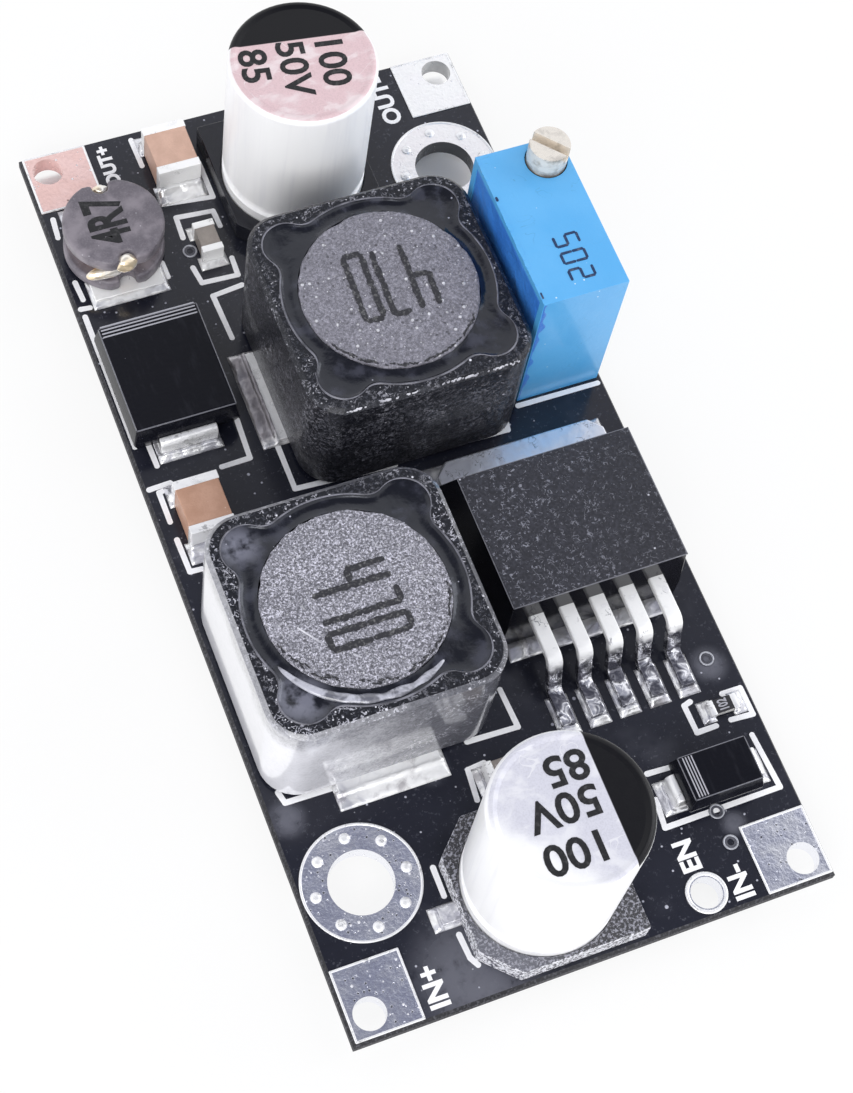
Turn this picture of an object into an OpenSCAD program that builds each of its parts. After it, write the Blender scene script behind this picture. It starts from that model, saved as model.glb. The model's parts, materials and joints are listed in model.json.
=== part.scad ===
// Buck-boost converter module: two shielded power coils, a five-lead switching
// controller, a multi-turn trimmer and their capacitors and diodes on one board.
// Origin under the middle of the board, level with the ends of the trimmer's pins, which it
// stands on. +X is across the board, +Y towards the output end and +Z up.

/* [Board] */
// Thickness of the board
board_t = 1.0; // [0.8:0.1:2.4]
// Width of the bevel that the scored break line leaves at each edge
score_w = 0.15; // [0.05:0.05:0.3]
// Depth of the scored line from each face
score_depth = 0.25; // [0.1:0.05:0.35]
// Thickness of the tinned copper on the board
copper_t = 0.05; // [0.03:0.01:0.1]
// Wall of the plated barrel in a drilled hole
plating_t = 0.17; // [0.16:0.01:0.2]

/* [Wire pads and mounting holes] */
// Width of a wire pad
pad_w = 3.6; // [3:0.1:4.5]
// Length of a wire pad
pad_l = 3.75; // [3:0.05:4.5]
// Radius of the hole for a wire
wire_hole_r = 0.85; // [0.5:0.05:1.1]
// Distance of a wire hole from both edges of its corner
wire_inset = 1.3; // [1.25:0.05:1.8]
// Radius of a mounting hole
mount_hole_r = 1.7; // [1.2:0.05:2]
// Outer radius of the tinned ring round a mounting hole
ring_r = 3.1; // [2.8:0.05:3.5]
// Radius of a stitching via in that ring
ring_via_r = 0.25; // [0.15:0.05:0.3]
// Number of stitching vias round a ring
ring_vias = 8; // [4:1:10]
// Gap between a wire pad and the ring beside it
pad_to_ring = 0.6; // [0.4:0.1:2]
// Outer radius of the enable pad
enable_r = 1.1; // [1.05:0.05:1.3]
// Radius of the hole in the enable pad
enable_hole_r = 0.83; // [0.5:0.01:0.9]
// Gap between the enable pad and the negative wire pad
pad_to_enable = 1.9; // [0.5:0.1:2.4]
// Outer radius of a signal via
via_r = 0.42; // [0.3:0.02:0.5]
// Radius of the dimple in a signal via
via_hole_r = 0.18; // [0.1:0.02:0.25]
// Gap between a signal via and the part beside it
via_gap = 0.3; // [0.2:0.05:0.5]
// Distance between the two vias beside the negative wire pad
via_pitch = 1.75; // [1.2:0.05:2.5]

/* [Electrolytic capacitors] */
// Radius of the can
can_r = 4; // [3:0.05:4.4]
// Height of the top of the can above the board
can_h = 11.3; // [7:0.1:13]
// Radius of the rolled rim at the top of the can
can_rim_r = 0.35; // [0.25:0.05:1]
// Depth of the crimp groove rolled into the can above its base
crimp_depth = 0.22; // [0.1:0.02:0.4]
// Height of the middle of the crimp groove above the board
crimp_z = 2.4; // [2.2:0.1:3]
// Width of the square moulded base
can_base_w = 8.5; // [8.2:0.1:9.5]
// Height of the walls at the corners of the base
can_base_h = 1.4; // [1.1:0.1:1.7]
// Thickness of the floor of the base
can_floor_t = 0.7; // [0.6:0.05:0.9]
// Cut on the two marked corners of the base
can_base_cut = 1.7; // [0.8:0.1:2]
// Width of a capacitor lead
can_lead_w = 0.9; // [0.6:0.05:1.4]
// Thickness of a capacitor lead
can_lead_t = 0.35; // [0.2:0.05:0.5]
// Length of a lead outside the base
can_lead_reach = 0.95; // [0.5:0.05:1.1]
// Length of a lead under the base
can_lead_under = 3.1; // [1.5:0.1:3.5]
// Gap between the input capacitor and the input edge
capacitor_edge_gap = 0.3; // [0.2:0.1:2]
// Gap between the mounting ring and the input capacitor
ring_to_capacitor = 0.8; // [0.7:0.05:2]
// Gap between the input capacitor and the chip behind it
capacitor_to_chip = 1.1; // [0.8:0.01:1.6]
// Shift of that chip from the middle of the input capacitor
chip_shift = 0.65; // [-1:0.05:2]
// Gap between the output coil and the output capacitor
coil_to_capacitor = 2.25; // [1.8:0.05:4]
// Gap between the output capacitor and the output edge
capacitor_to_out_edge = 1.3; // [0.3:0.1:3]
// Shift of the output capacitor from the middle of the output coil
capacitor_shift = -0.3; // [-0.5:0.05:0.5]

/* [Power coils] */
// Width of the square shield
coil_w = 12.4; // [11:0.1:13.5]
// Height of the shield's top above the board
coil_h = 8.0; // [6:0.1:10]
// Radius of the shield's corners
coil_corner_r = 2.0; // [1:0.1:2.5]
// Chamfer round the top of the shield
coil_chamfer = 0.25; // [0.1:0.05:0.4]
// Thinnest wall of the shield, at the middle of a side
shield_wall = 0.6; // [0.5:0.02:0.9]
// Height of the core's top above the shield
core_proud = 0.12; // [0.05:0.01:0.3]
// Thickness of a flange of the core
flange_t = 1.3; // [0.8:0.1:2]
// Radius of the core's post
post_r = 2.6; // [2:0.1:3.2]
// Gap between the core and the shield
core_gap = 0.82; // [0.6:0.02:1]
// Radius of a glue lobe at each corner of the shield's top
lobe_r = 1.35; // [1.1:0.05:1.5]
// Radius that blends a glue lobe into the ring of glue
lobe_blend_r = 1.0; // [0.5:0.1:1.5]
// Distance of the pockets' centres outside the ring of glue
lobe_out = 0.15; // [0:0.05:0.3]
// Depth of the glue pocket
glue_depth = 0.6; // [0.4:0.05:1]
// Level of the glue below the shield's top
glue_sunk = 0.15; // [0.05:0.05:0.3]
// Slack between the turns and the core's rim
winding_slack = 0.45; // [0.3:0.05:1]
// Width of a coil terminal
coil_terminal_w = 5.6; // [4:0.1:6]
// Thickness of a coil terminal
coil_terminal_t = 0.25; // [0.15:0.05:0.4]
// Length of a terminal outside the shield
coil_terminal_reach = 0.5; // [0.2:0.05:0.8]
// Length of a terminal under the shield
coil_terminal_under = 2.2; // [1.5:0.1:2.4]
// Length of a coil's solder land outside the shield
coil_land_reach = 1.4; // [1.2:0.05:1.6]
// Gap between the input coil and the left edge
coil_edge_gap = 0.38; // [0.2:0.02:1]
// Gap between the mounting ring and the input coil's land
ring_to_land = 0.66; // [0.3:0.02:2]

/* [Controller] */
// Width of the moulded body
controller_w = 10.1; // [9:0.1:11]
// Length of the moulded body at its foot
controller_l = 9.25; // [8.5:0.05:10]
// Height of the body's top above the board
controller_h = 4.44; // [4:0.02:5]
// Slope of the body's sides, as the inset of its top edge
controller_draft = 0.18; // [0.1:0.02:0.3]
// Slope of the body's tab end, as the inset of its top edge
controller_back_draft = 1.3; // [0.3:0.05:1.6]
// Thickness of the metal tab
tab_t = 1.27; // [1:0.01:1.5]
// Length of the tab outside the body
tab_reach = 1.27; // [0.8:0.01:1.6]
// Cut on the corners of the tab
tab_cut = 0.7; // [0.3:0.05:0.75]
// Distance between leads
lead_pitch = 1.7; // [1.5:0.02:1.8]
// Width of a lead
lead_w = 0.82; // [0.6:0.02:1]
// Thickness of a lead
lead_t = 0.45; // [0.3:0.05:0.6]
// Height of the middle of a lead where it leaves the body
lead_z = 2.6; // [2.2:0.05:3]
// Reach of the leads in front of the body
lead_reach = 5.3; // [4.6:0.05:6]
// Length of a lead before it bends down
lead_shoulder = 2.05; // [1.6:0.05:2.3]
// Middle radius of the bends in a lead
lead_bend_r = 0.5; // [0.4:0.05:0.6]
// Slope of the sloping part of a lead, from level
lead_slope = 74; // [65:1:85]
// Gap between the input coil and the controller
coil_to_controller = 1.84; // [1:0.02:3]
// Gap between the controller and the right edge
controller_edge_gap = 1.28; // [0.8:0.02:3]
// Gap between the enable resistor and the ends of the leads
resistor_to_leads = 1.18; // [0.6:0.02:2]
// Gap between the tab and the output coil
tab_to_coil = 1.07; // [0.8:0.01:3]

/* [Trimmer] */
// Width of the trimmer's case
trimmer_w = 4.83; // [4.6:0.01:5.4]
// Length of the trimmer's case
trimmer_l = 9.53; // [9.3:0.01:10.5]
// Height of the case's top above the board
trimmer_h = 10.03; // [9.4:0.01:11]
// Wall of the case
trimmer_wall = 0.7; // [0.5:0.05:0.8]
// Height of the stand-off feet under the case
trimmer_foot = 0.3; // [0.2:0.05:0.5]
// Depth of the side plate in the open side of the case
plate_sunk = 0.1; // [0.05:0.05:0.3]
// Thickness of the side plate
plate_t = 0.5; // [0.3:0.05:0.6]
// Width of the case's rim round the side plate
plate_rim = 0.45; // [0.35:0.05:0.5]
// Thickness of the ceramic element plate
element_t = 0.6; // [0.4:0.05:0.7]
// Radius of the screw's head
screw_head_r = 1.1; // [0.9:0.05:1.2]
// Height of the screw's head above the case
screw_proud = 1.45; // [0.8:0.05:2]
// Width of the slot in the screw's head
screw_slot_w = 0.5; // [0.3:0.05:0.6]
// Depth of the slot in the screw's head
screw_slot_depth = 0.6; // [0.4:0.05:0.8]
// Radius of the screw's neck
screw_neck_r = 0.75; // [0.5:0.05:0.8]
// Radius of the screw's worm
worm_r = 0.85; // [0.8:0.05:0.95]
// Radius of the pivot at the foot of the worm
pivot_r = 0.4; // [0.3:0.05:0.6]
// Distance of the screw from the case's two nearest sides
screw_inset = 1.27; // [1.24:0.01:1.4]
// Running clearance round turning pieces
run_gap = 0.05; // [0.02:0.01:0.08]
// Turn of the slot from the case's long side
screw_slot_turn = 43; // [0:1:180]
// Depth of the sunk ring round the screw's head
screw_recess = 0.75; // [0.6:0.05:0.9]
// Thickness of the seal ring under the screw's head
seal_t = 0.3; // [0.2:0.05:0.4]
// Number of teeth on the worm wheel
wheel_teeth = 32; // [24:1:36]
// Height of a tooth on the worm wheel
tooth_h = 0.3; // [0.2:0.05:0.4]
// Thickness of the worm wheel
wheel_t = 1.0; // [0.6:0.05:1.1]
// Radius of the pin that the worm wheel turns on
wheel_pin_r = 0.6; // [0.4:0.05:0.9]
// Thickness of the wiper
wiper_t = 0.12; // [0.08:0.01:0.2]
// Radius of a pin
pin_r = 0.25; // [0.2:0.01:0.35]
// Gap round a pin in its hole
pin_gap = 0.05; // [0.03:0.01:0.15]
// Distance between pins
pin_pitch = 2.54; // [2:0.01:2.7]
// Length of a pin below the board
pin_tail = 0.8; // [0.5:0.1:2]
// Gap between the output coil and the trimmer
coil_to_trimmer = 0.4; // [0.3:0.02:2]
// Gap between the trimmer and the right edge
trimmer_edge_gap = 0.3; // [0.25:0.01:2]
// Shift of the trimmer from the middle of the output coil
trimmer_shift = 0.32; // [-0.5:0.02:0.5]

/* [Diodes] */
// Width of the rectifier's body
rectifier_w = 5.9; // [5.2:0.1:6.4]
// Length of the rectifier's body
rectifier_l = 6.9; // [6.2:0.1:7.3]
// Height of the rectifier's top above the board
rectifier_h = 2.35; // [2:0.05:2.8]
// Width of the rectifier's leads
rectifier_lead_w = 3.2; // [2.6:0.1:3.6]
// Width of the input diode's body
diode_w = 2.75; // [2.3:0.05:3.1]
// Length of the input diode's body
diode_l = 4.15; // [3.8:0.05:4.7]
// Height of the input diode's top above the board
diode_h = 2.2; // [1.9:0.05:2.5]
// Width of the input diode's leads
diode_lead_w = 1.5; // [1.2:0.05:1.8]
// Thickness of a diode lead
diode_lead_t = 0.25; // [0.15:0.05:0.3]
// Length of a diode lead outside the body
diode_lead_reach = 0.46; // [0.45:0.01:0.8]
// Length of a diode lead's foot under the body
diode_foot = 1.1; // [0.8:0.05:1.3]
// Slope of the diode bodies' sides, as the inset of the top edge
diode_draft = 0.2; // [0.1:0.02:0.3]
// Gap between the negative wire pad and the input diode
pad_to_diode = 1.3; // [0.6:0.05:2]
// Gap between the input diode and the right edge
diode_edge_gap = 1.55; // [1:0.05:2]
// Gap between the rectifier and the left edge
rectifier_edge_gap = 0.2; // [0.15:0.01:1]
// Gap between the rectifier and the output coil
rectifier_to_coil = 2.15; // [1.8:0.05:3]
// Gap between the coupling capacitor and the rectifier
coupling_to_rectifier = 2.6; // [2:0.05:4]

/* [Small parts] */
// Width of the large ceramic capacitors
ceramic_w = 2.45; // [2:0.05:2.7]
// Length of the large ceramic capacitors
ceramic_l = 3.2; // [2.6:0.1:3.6]
// Height of the large ceramic capacitors
ceramic_h = 2.0; // [1.2:0.1:2.6]
// Length of the tinned end of a large ceramic capacitor
ceramic_end_l = 0.5; // [0.3:0.05:0.8]
// Width of the chip capacitors
chip_capacitor_w = 1.2; // [1:0.05:1.4]
// Length of the chip capacitors
chip_capacitor_l = 2.0; // [1.8:0.05:2.2]
// Height of the chip capacitors
chip_capacitor_h = 1.15; // [0.6:0.05:1.4]
// Length of the tinned end of a chip capacitor
chip_capacitor_end_l = 0.4; // [0.25:0.01:0.45]
// Width of the enable resistor
resistor_w = 0.85; // [0.7:0.05:1.1]
// Length of the enable resistor
resistor_l = 1.65; // [1.4:0.05:2]
// Height of the enable resistor
resistor_h = 0.45; // [0.35:0.05:0.6]
// Length of the tinned end of the resistor
resistor_end_l = 0.33; // [0.2:0.01:0.4]
// Thickness of a tinned end
end_t = 0.04; // [0.03:0.01:0.06]
// Thickness of the resistor's dark coat
coat_t = 0.04; // [0.02:0.01:0.06]
// Radius of the filter coil's flanges
drum_r = 2.78; // [2.65:0.01:2.9]
// Length of the filter coil over the flats at its notches
drum_l = 5.2; // [4.8:0.05:5.25]
// Height of the filter coil above the board
drum_h = 3.05; // [2.8:0.05:5]
// Thickness of a flange of the filter coil
drum_flange_t = 0.85; // [0.6:0.05:0.95]
// Radius of the filter coil's post
drum_post_r = 1.4; // [1:0.05:1.6]
// Radius of the filter coil's wire
drum_wire_r = 0.2; // [0.15:0.01:0.25]
// Width of the wire notches in the filter coil's flanges
drum_notch_w = 0.9; // [0.6:0.05:1.2]
// Depth of the wire notches
drum_notch_depth = 0.65; // [0.4:0.05:0.8]
// Width of a filter coil terminal
drum_terminal_w = 4.0; // [2.5:0.1:4.2]
// Length of a filter coil terminal outside the core
drum_terminal_reach = 0.3; // [0.2:0.05:0.5]
// Length of a filter coil terminal under the core
drum_terminal_under = 1.1; // [0.8:0.05:1.4]
// Thickness of a filter coil terminal
drum_terminal_t = 0.2; // [0.15:0.01:0.3]
// Gap between the input coil and the coupling capacitor
coil_to_coupling = 2.25; // [1:0.05:4]
// Gap between the coupling capacitor and the left edge
coupling_edge_gap = 1.2; // [0.5:0.05:1.6]
// Gap between the rectifier and the filter coil
rectifier_to_drum = 2.3; // [1.2:0.05:3]
// Gap between the filter coil and the left edge
drum_edge_gap = 0.41; // [0.2:0.01:1]
// Gap between the filter coil and the positive wire pad
drum_to_pad = 0.57; // [0.5:0.01:2.5]
// Gap between the bypass capacitor and the output capacitor
bypass_to_capacitor = 0.7; // [0.5:0.05:1.2]
// Gap between the bypass capacitor and the output edge
bypass_edge_gap = 1.4; // [1:0.05:2]
// Gap between the filter chip and the output capacitor
filter_to_capacitor = 1.1; // [0.5:0.05:1.5]
// Gap between the filter chip and the bypass capacitor
filter_to_bypass = 3.05; // [2.2:0.05:3.5]
// Gap between the input diode and the enable resistor
diode_to_resistor = 1.8; // [1:0.05:3]
// Gap between the enable resistor and the right edge
resistor_edge_gap = 1.02; // [0.7:0.02:2]

/* [Solder] */
// Length of a land in front of the end that is soldered to it
land_margin = 0.45; // [0.3:0.05:0.5]
// Width of a land beside the end that is soldered to it
land_side = 0.2; // [0.1:0.05:0.3]
// Rise of a solder fillet up the end of a part
fillet_h = 0.4; // [0.2:0.02:0.42]
// Length of a land in front of the end of a large ceramic capacitor
ceramic_land = 0.8; // [0.5:0.05:0.8]
// Rise of the solder up the end of a large ceramic capacitor
ceramic_fillet_h = 0.75; // [0.3:0.05:0.8]
// Radius of the solder cone round a pin under the board
cone_r = 0.75; // [0.6:0.05:1]
// Height of that cone
cone_h = 0.6; // [0.3:0.05:0.75]

/* [Hidden] */
$fn = 48;
eps = 0.01;
ring_via_at = (ring_r + mount_hole_r) / 2;
bend_steps = 6;
drop_cut = 1;

// Spans of the parts over their leads
can_span = can_base_w + 2 * can_lead_reach;
rectifier_span = rectifier_l + 2 * diode_lead_reach;
diode_span = diode_l + 2 * diode_lead_reach;
controller_span = lead_reach + controller_l + tab_reach;
drum_span = drum_l + 2 * drum_terminal_reach;

// Places across the board, from its left edge
pad_far = score_w + pad_l;
ring_inset_x = score_w + ring_r;
ring_inset_y = pad_far + pad_to_ring + ring_r;
input_coil_x = coil_edge_gap + coil_w / 2;
controller_x = coil_edge_gap + coil_w + coil_to_controller + controller_w / 2;
output_coil_x = rectifier_edge_gap + rectifier_w + rectifier_to_coil + coil_w / 2;
trimmer_x = output_coil_x + coil_w / 2 + coil_to_trimmer + trimmer_w / 2;
input_capacitor_x = ring_inset_x + ring_r + ring_to_capacitor + can_base_w / 2;
output_capacitor_x = output_coil_x + capacitor_shift;
bypass_x = output_capacitor_x - can_base_w / 2 - bypass_to_capacitor - ceramic_w / 2;
filter_x = output_capacitor_x - can_base_w / 2 - filter_to_capacitor - chip_capacitor_w / 2;
board_w = max(controller_x + controller_w / 2 + controller_edge_gap,
    trimmer_x + trimmer_w / 2 + trimmer_edge_gap);

// Places along the board, from its input edge
input_coil_y = ring_inset_y + ring_r + ring_to_land + coil_land_reach + coil_w / 2;
input_capacitor_y = capacitor_edge_gap + can_base_w / 2;
diode_y = pad_far + pad_to_diode + diode_w / 2;
resistor_y = diode_y + diode_w / 2 + diode_to_resistor + resistor_w / 2;
lead_toe_y = resistor_y + resistor_w / 2 + resistor_to_leads;
controller_y = lead_toe_y + lead_reach;
tab_end_y = lead_toe_y + controller_span;
output_coil_y = max(tab_end_y + tab_to_coil, input_coil_y + coil_w / 2 + tab_to_coil) + coil_w / 2;
trimmer_y = output_coil_y + trimmer_shift;
coupling_y = input_coil_y + coil_w / 2 + coil_to_coupling + ceramic_l / 2;
rectifier_y = coupling_y + ceramic_l / 2 + coupling_to_rectifier + rectifier_span / 2;
drum_y = rectifier_y + rectifier_span / 2 + rectifier_to_drum + drum_span / 2;
output_capacitor_y = output_coil_y + coil_w / 2 + coil_to_capacitor + can_base_w / 2;
board_l = max(drum_y + drum_span / 2 + drum_to_pad + pad_far,
    output_capacitor_y + can_base_w / 2 + capacitor_to_out_edge,
    trimmer_y + trimmer_l / 2 + pad_to_ring + ring_r + ring_inset_y);
bypass_y = board_l - bypass_edge_gap - ceramic_l / 2;
filter_y = bypass_y - ceramic_l / 2 - filter_to_bypass - chip_capacitor_l / 2;
supply_y = input_capacitor_y + can_base_w / 2 + capacitor_to_chip + chip_capacitor_w / 2;

// Corner signs of the wire pads, as left or right and input or output end
in_positive = [-1, -1];
in_negative = [1, -1];
out_positive = [-1, 1];
out_negative = [1, 1];
corners = [in_positive, in_negative, out_positive, out_negative];

// Signal vias, as distances from the left and input edges
pad_via_x = board_w - score_w - pad_w - via_gap - via_r;
vias_at = [
    [controller_x + controller_w / 2, lead_toe_y + resistor_to_leads],
    [pad_via_x, pad_far - via_pitch / 3],
    [pad_via_x, pad_far + via_pitch * 2 / 3],
    [filter_x - chip_capacitor_w / 2 - via_r, filter_y]];

// Height of the board's underside, which the ends of the trimmer's pins hold up
underside_z = pin_tail;

// Levels above the board's top
coil_foot_z = copper_t + coil_terminal_t;
glue_r = coil_w / 2 - shield_wall;
core_r = glue_r - core_gap;
lobe_at = glue_r + lobe_out;
blend_turn = acos((pow(glue_r + lobe_blend_r, 2) + pow(lobe_at, 2) - pow(lobe_r + lobe_blend_r, 2))
    / (2 * (glue_r + lobe_blend_r) * lobe_at));
diode_parting = copper_t + diode_lead_t + 0.85;
diode_foot_z = copper_t + diode_lead_t + 0.04;
trimmer_floor = trimmer_foot + trimmer_wall;
trimmer_roof = trimmer_h - screw_recess - trimmer_wall;
screw_x = trimmer_w / 2 - screw_inset;
screw_y = trimmer_l / 2 - screw_inset;
plate_x = -trimmer_w / 2 + plate_sunk;
element_x = plate_x + plate_t;
wheel_z = (trimmer_floor + trimmer_roof) / 2;
wheel_y = -run_gap * 4;
wheel_r = screw_y - wheel_y - worm_r - run_gap * 2;
wheel_x = trimmer_w / 2 - trimmer_wall - run_gap - wheel_t;
pin_x = element_x + element_t + pin_r;

mask_black = "#17181c";
tin = "#c9c8d4";
bare_aluminium = "#e6e6ea";
ferrite = "#33333a";
moulding = "#1d1d20";
trimmer_blue = "#3f9bee";
brass = "#d8c48a";
copper = "#b5713c";

// Place helpers
function diode_left() = board_w - diode_edge_gap - diode_span;

module on_board(x, y) {
    translate([x - board_w / 2, y - board_l / 2, underside_z + board_t]) children();
}

module in_corner(corner, inset_x, inset_y) {
    x = corner[0] * (board_w / 2 - inset_x);
    y = corner[1] * (board_l / 2 - inset_y);
    translate([x, y, underside_z]) children();
}

module at_input_coil() {
    on_board(input_coil_x, input_coil_y) rotate(90) children();
}

module at_output_coil() {
    on_board(output_coil_x, output_coil_y) children();
}

module at_input_capacitor() {
    on_board(input_capacitor_x, input_capacitor_y) rotate(-90) children();
}

module at_output_capacitor() {
    on_board(output_capacitor_x, output_capacitor_y) children();
}

module at_controller() {
    on_board(controller_x, controller_y) children();
}

module at_trimmer() {
    on_board(trimmer_x, trimmer_y) children();
}

module at_rectifier() {
    on_board(rectifier_edge_gap + rectifier_w / 2, rectifier_y) children();
}

module at_diode() {
    on_board(diode_left() + diode_span / 2, diode_y) rotate(90) children();
}

module at_filter_coil() {
    on_board(drum_edge_gap + drum_r, drum_y) children();
}

module at_bypass() {
    on_board(bypass_x, bypass_y) children();
}

module at_coupling() {
    on_board(coupling_edge_gap + ceramic_w / 2, coupling_y) children();
}

module at_chip_capacitors() {
    on_board(filter_x, filter_y) children();
    on_board(input_capacitor_x + chip_shift, supply_y) rotate(90) children();
}

module at_resistor() {
    on_board(board_w - resistor_edge_gap - resistor_l / 2, resistor_y) rotate(90) children();
}

module both_ends() {
    for (turn = [0, 180]) rotate(turn) children();
}

// Shape helpers
function arc(centre, r, from, to, steps = 8) =
    [for (i = [0:steps]) let (a = from + (to - from) * i / steps) centre + r * [cos(a), sin(a)]];

// Middle line of a bent strip, as points with their headings: each leg is a length and a turn
function bend_line(legs, r, p = [0, 0], heading = 0, i = 0) =
    i == len(legs) ? [] :
    let (q = p + legs[i][0] * [cos(heading), sin(heading)],
        turn = legs[i][1],
        side = sign(turn),
        hub = q + side * r * [-sin(heading), cos(heading)],
        headings = turn == 0 ? [heading] : [for (k = [0:bend_steps]) heading + turn * k / bend_steps],
        round_part = [for (a = headings) turn == 0 ? [q[0], q[1], a] :
            [hub[0] + side * r * sin(a), hub[1] - side * r * cos(a), a]],
        tip = round_part[len(round_part) - 1])
    concat(i == 0 ? [[p[0], p[1], heading]] : [], round_part,
        bend_line(legs, r, [tip[0], tip[1]], heading + turn, i + 1));

function strip_side(line, d) =
    [for (s = line) [s[0] - d * sin(s[2]), s[1] + d * cos(s[2])]];

function backwards(list) = [for (i = [len(list) - 1:-1:0]) list[i]];

// A strip that leaves the origin along -Y and is bent in the upright plane
module bent_strip(legs, bend_r, t, w) {
    line = bend_line(legs, bend_r);
    rotate([90, 0, -90])
        linear_extrude(w, center = true)
            polygon(concat(strip_side(line, t / 2), backwards(strip_side(line, -t / 2))));
}

module slab(w, l, h, z = 0) {
    translate([-w / 2, -l / 2, z]) cube([w, l, h]);
}

module rounded_square(w, r) {
    square([w, w - 2 * r], center = true);
    square([w - 2 * r, w], center = true);
    for (x = [-1, 1], y = [-1, 1]) translate([x, y] * (w / 2 - r)) circle(r);
}

module tube(r, hole_r, h) {
    difference() {
        cylinder(r = r, h = h);
        translate([0, 0, -eps]) cylinder(r = hole_r, h = h + 2 * eps);
    }
}

// Board and its copper
module scored_section(w) {
    top = board_t - score_depth;
    polygon([[-w / 2 + score_w, 0], [w / 2 - score_w, 0], [w / 2, score_depth], [w / 2, top],
        [w / 2 - score_w, board_t], [-w / 2 + score_w, board_t], [-w / 2, top], [-w / 2, score_depth]]);
}

module through(r) {
    translate([0, 0, -drop_cut]) cylinder(r = r, h = board_t + 2 * drop_cut);
}

module at_enable() {
    in_corner(in_negative, score_w + pad_w + pad_to_enable + enable_r, wire_inset) children();
}

module at_wire_pad(corner) {
    in_corner(corner, score_w + pad_w / 2, score_w + pad_l / 2) children();
}

module board() {
    color(mask_black) difference() {
        translate([0, 0, underside_z]) intersection() {
            rotate([90, 0, 0]) linear_extrude(board_l, center = true) scored_section(board_w);
            rotate([90, 0, 90]) linear_extrude(board_w, center = true) scored_section(board_l);
        }
        for (corner = corners) {
            in_corner(corner, wire_inset, wire_inset) through(wire_hole_r + plating_t);
            at_wire_pad(corner) slab(pad_w, pad_l, copper_t + drop_cut, -drop_cut);
        }
        for (corner = [in_positive, out_negative]) in_corner(corner, ring_inset_x, ring_inset_y) {
            through(mount_hole_r + plating_t);
            translate([0, 0, -drop_cut]) cylinder(r = ring_r, h = copper_t + drop_cut);
        }
        at_enable() {
            through(enable_hole_r + plating_t);
            translate([0, 0, -drop_cut]) cylinder(r = enable_r, h = copper_t + drop_cut);
        }
        at_trimmer() trimmer_pin_row() translate([0, 0, -board_t]) through(pin_r + pin_gap);
    }
}

module wire_pad(corner) {
    color(tin) difference() {
        union() {
            at_wire_pad(corner) {
                slab(pad_w, pad_l, copper_t);
                slab(pad_w, pad_l, copper_t, board_t);
            }
            in_corner(corner, wire_inset, wire_inset) cylinder(r = wire_hole_r + plating_t, h = board_t);
        }
        in_corner(corner, wire_inset, wire_inset) through(wire_hole_r);
    }
}

module in_positive_pad() { wire_pad(in_positive); }
module in_negative_pad() { wire_pad(in_negative); }
module out_positive_pad() { wire_pad(out_positive); }
module out_negative_pad() { wire_pad(out_negative); }

module eyelet(flange_r, hole_r) {
    cylinder(r = flange_r, h = copper_t);
    tube(hole_r + plating_t, hole_r, board_t + copper_t);
    translate([0, 0, board_t]) cylinder(r = flange_r, h = copper_t);
}

module mount_ring(corner) {
    color(tin) in_corner(corner, ring_inset_x, ring_inset_y) difference() {
        eyelet(ring_r, mount_hole_r);
        through(mount_hole_r);
        for (i = [0:ring_vias - 1], z = [-eps, board_t - eps])
            rotate(360 * i / ring_vias)
                translate([ring_via_at, 0, z]) cylinder(r = ring_via_r, h = copper_t + 2 * eps);
    }
}

module in_mount_ring() { mount_ring(in_positive); }
module out_mount_ring() { mount_ring(out_negative); }

module enable_pad() {
    color(tin) at_enable() difference() {
        eyelet(enable_r, enable_hole_r);
        through(enable_hole_r);
    }
}

module vias() {
    color(mask_black) for (via = vias_at) on_board(via[0], via[1]) tube(via_r, via_hole_r, copper_t);
}

// Solder lands: a pair of lands under a part's two ends, by the outer span of those ends
module land_pair(span, under, w, reach = land_margin) {
    both_ends() translate([0, -span / 2 - reach, 0])
        translate([-w / 2 - land_side, 0, 0]) cube([w + 2 * land_side, reach + under, copper_t]);
}

module solder_lands() {
    color(tin) {
        at_input_coil() rotate(90)
            land_pair(coil_w, coil_terminal_under, coil_terminal_w, coil_land_reach);
        at_output_coil() rotate(90)
            land_pair(coil_w, coil_terminal_under, coil_terminal_w, coil_land_reach);
        at_input_capacitor() land_pair(can_span, can_lead_reach + can_lead_under, can_lead_w);
        at_output_capacitor() land_pair(can_span, can_lead_reach + can_lead_under, can_lead_w);
        at_rectifier() land_pair(rectifier_span, diode_lead_reach + diode_foot, rectifier_lead_w);
        at_diode() land_pair(diode_span, diode_lead_reach + diode_foot, diode_lead_w);
        at_bypass() land_pair(ceramic_l, ceramic_end_l, ceramic_w, ceramic_land);
        at_coupling() land_pair(ceramic_l, ceramic_end_l, ceramic_w, ceramic_land);
        at_chip_capacitors() land_pair(chip_capacitor_l, chip_capacitor_end_l, chip_capacitor_w);
        at_resistor() land_pair(resistor_l, resistor_end_l, resistor_w);
        at_filter_coil() land_pair(drum_span, drum_terminal_reach + drum_terminal_under, drum_terminal_w);
        at_controller() {
            for (i = [0:4]) translate([lead_x(i), -lead_reach - land_margin, 0])
                translate([-lead_w / 2 - land_side, 0, 0])
                    cube([lead_w + 2 * land_side, lead_foot() + land_margin, copper_t]);
            translate([-controller_w / 2 - land_side, controller_l / 2, 0])
                cube([controller_w + 2 * land_side, controller_l / 2 + tab_reach + land_margin, copper_t]);
        }
    }
}

// A hollow-faced wedge of solder against the end of a part, which faces -Y
module solder_fillet(w, rise = fillet_h, reach = land_margin) {
    r = min(rise, reach);
    translate([0, 0, copper_t]) rotate([90, 0, -90]) linear_extrude(w, center = true)
        polygon(concat([[0, 0]], arc([r, r], r, 270, 180)));
}

module fillet_pair(span, w, rise = fillet_h, reach = land_margin) {
    both_ends() translate([0, -span / 2, 0]) solder_fillet(w, rise, reach);
}

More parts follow.
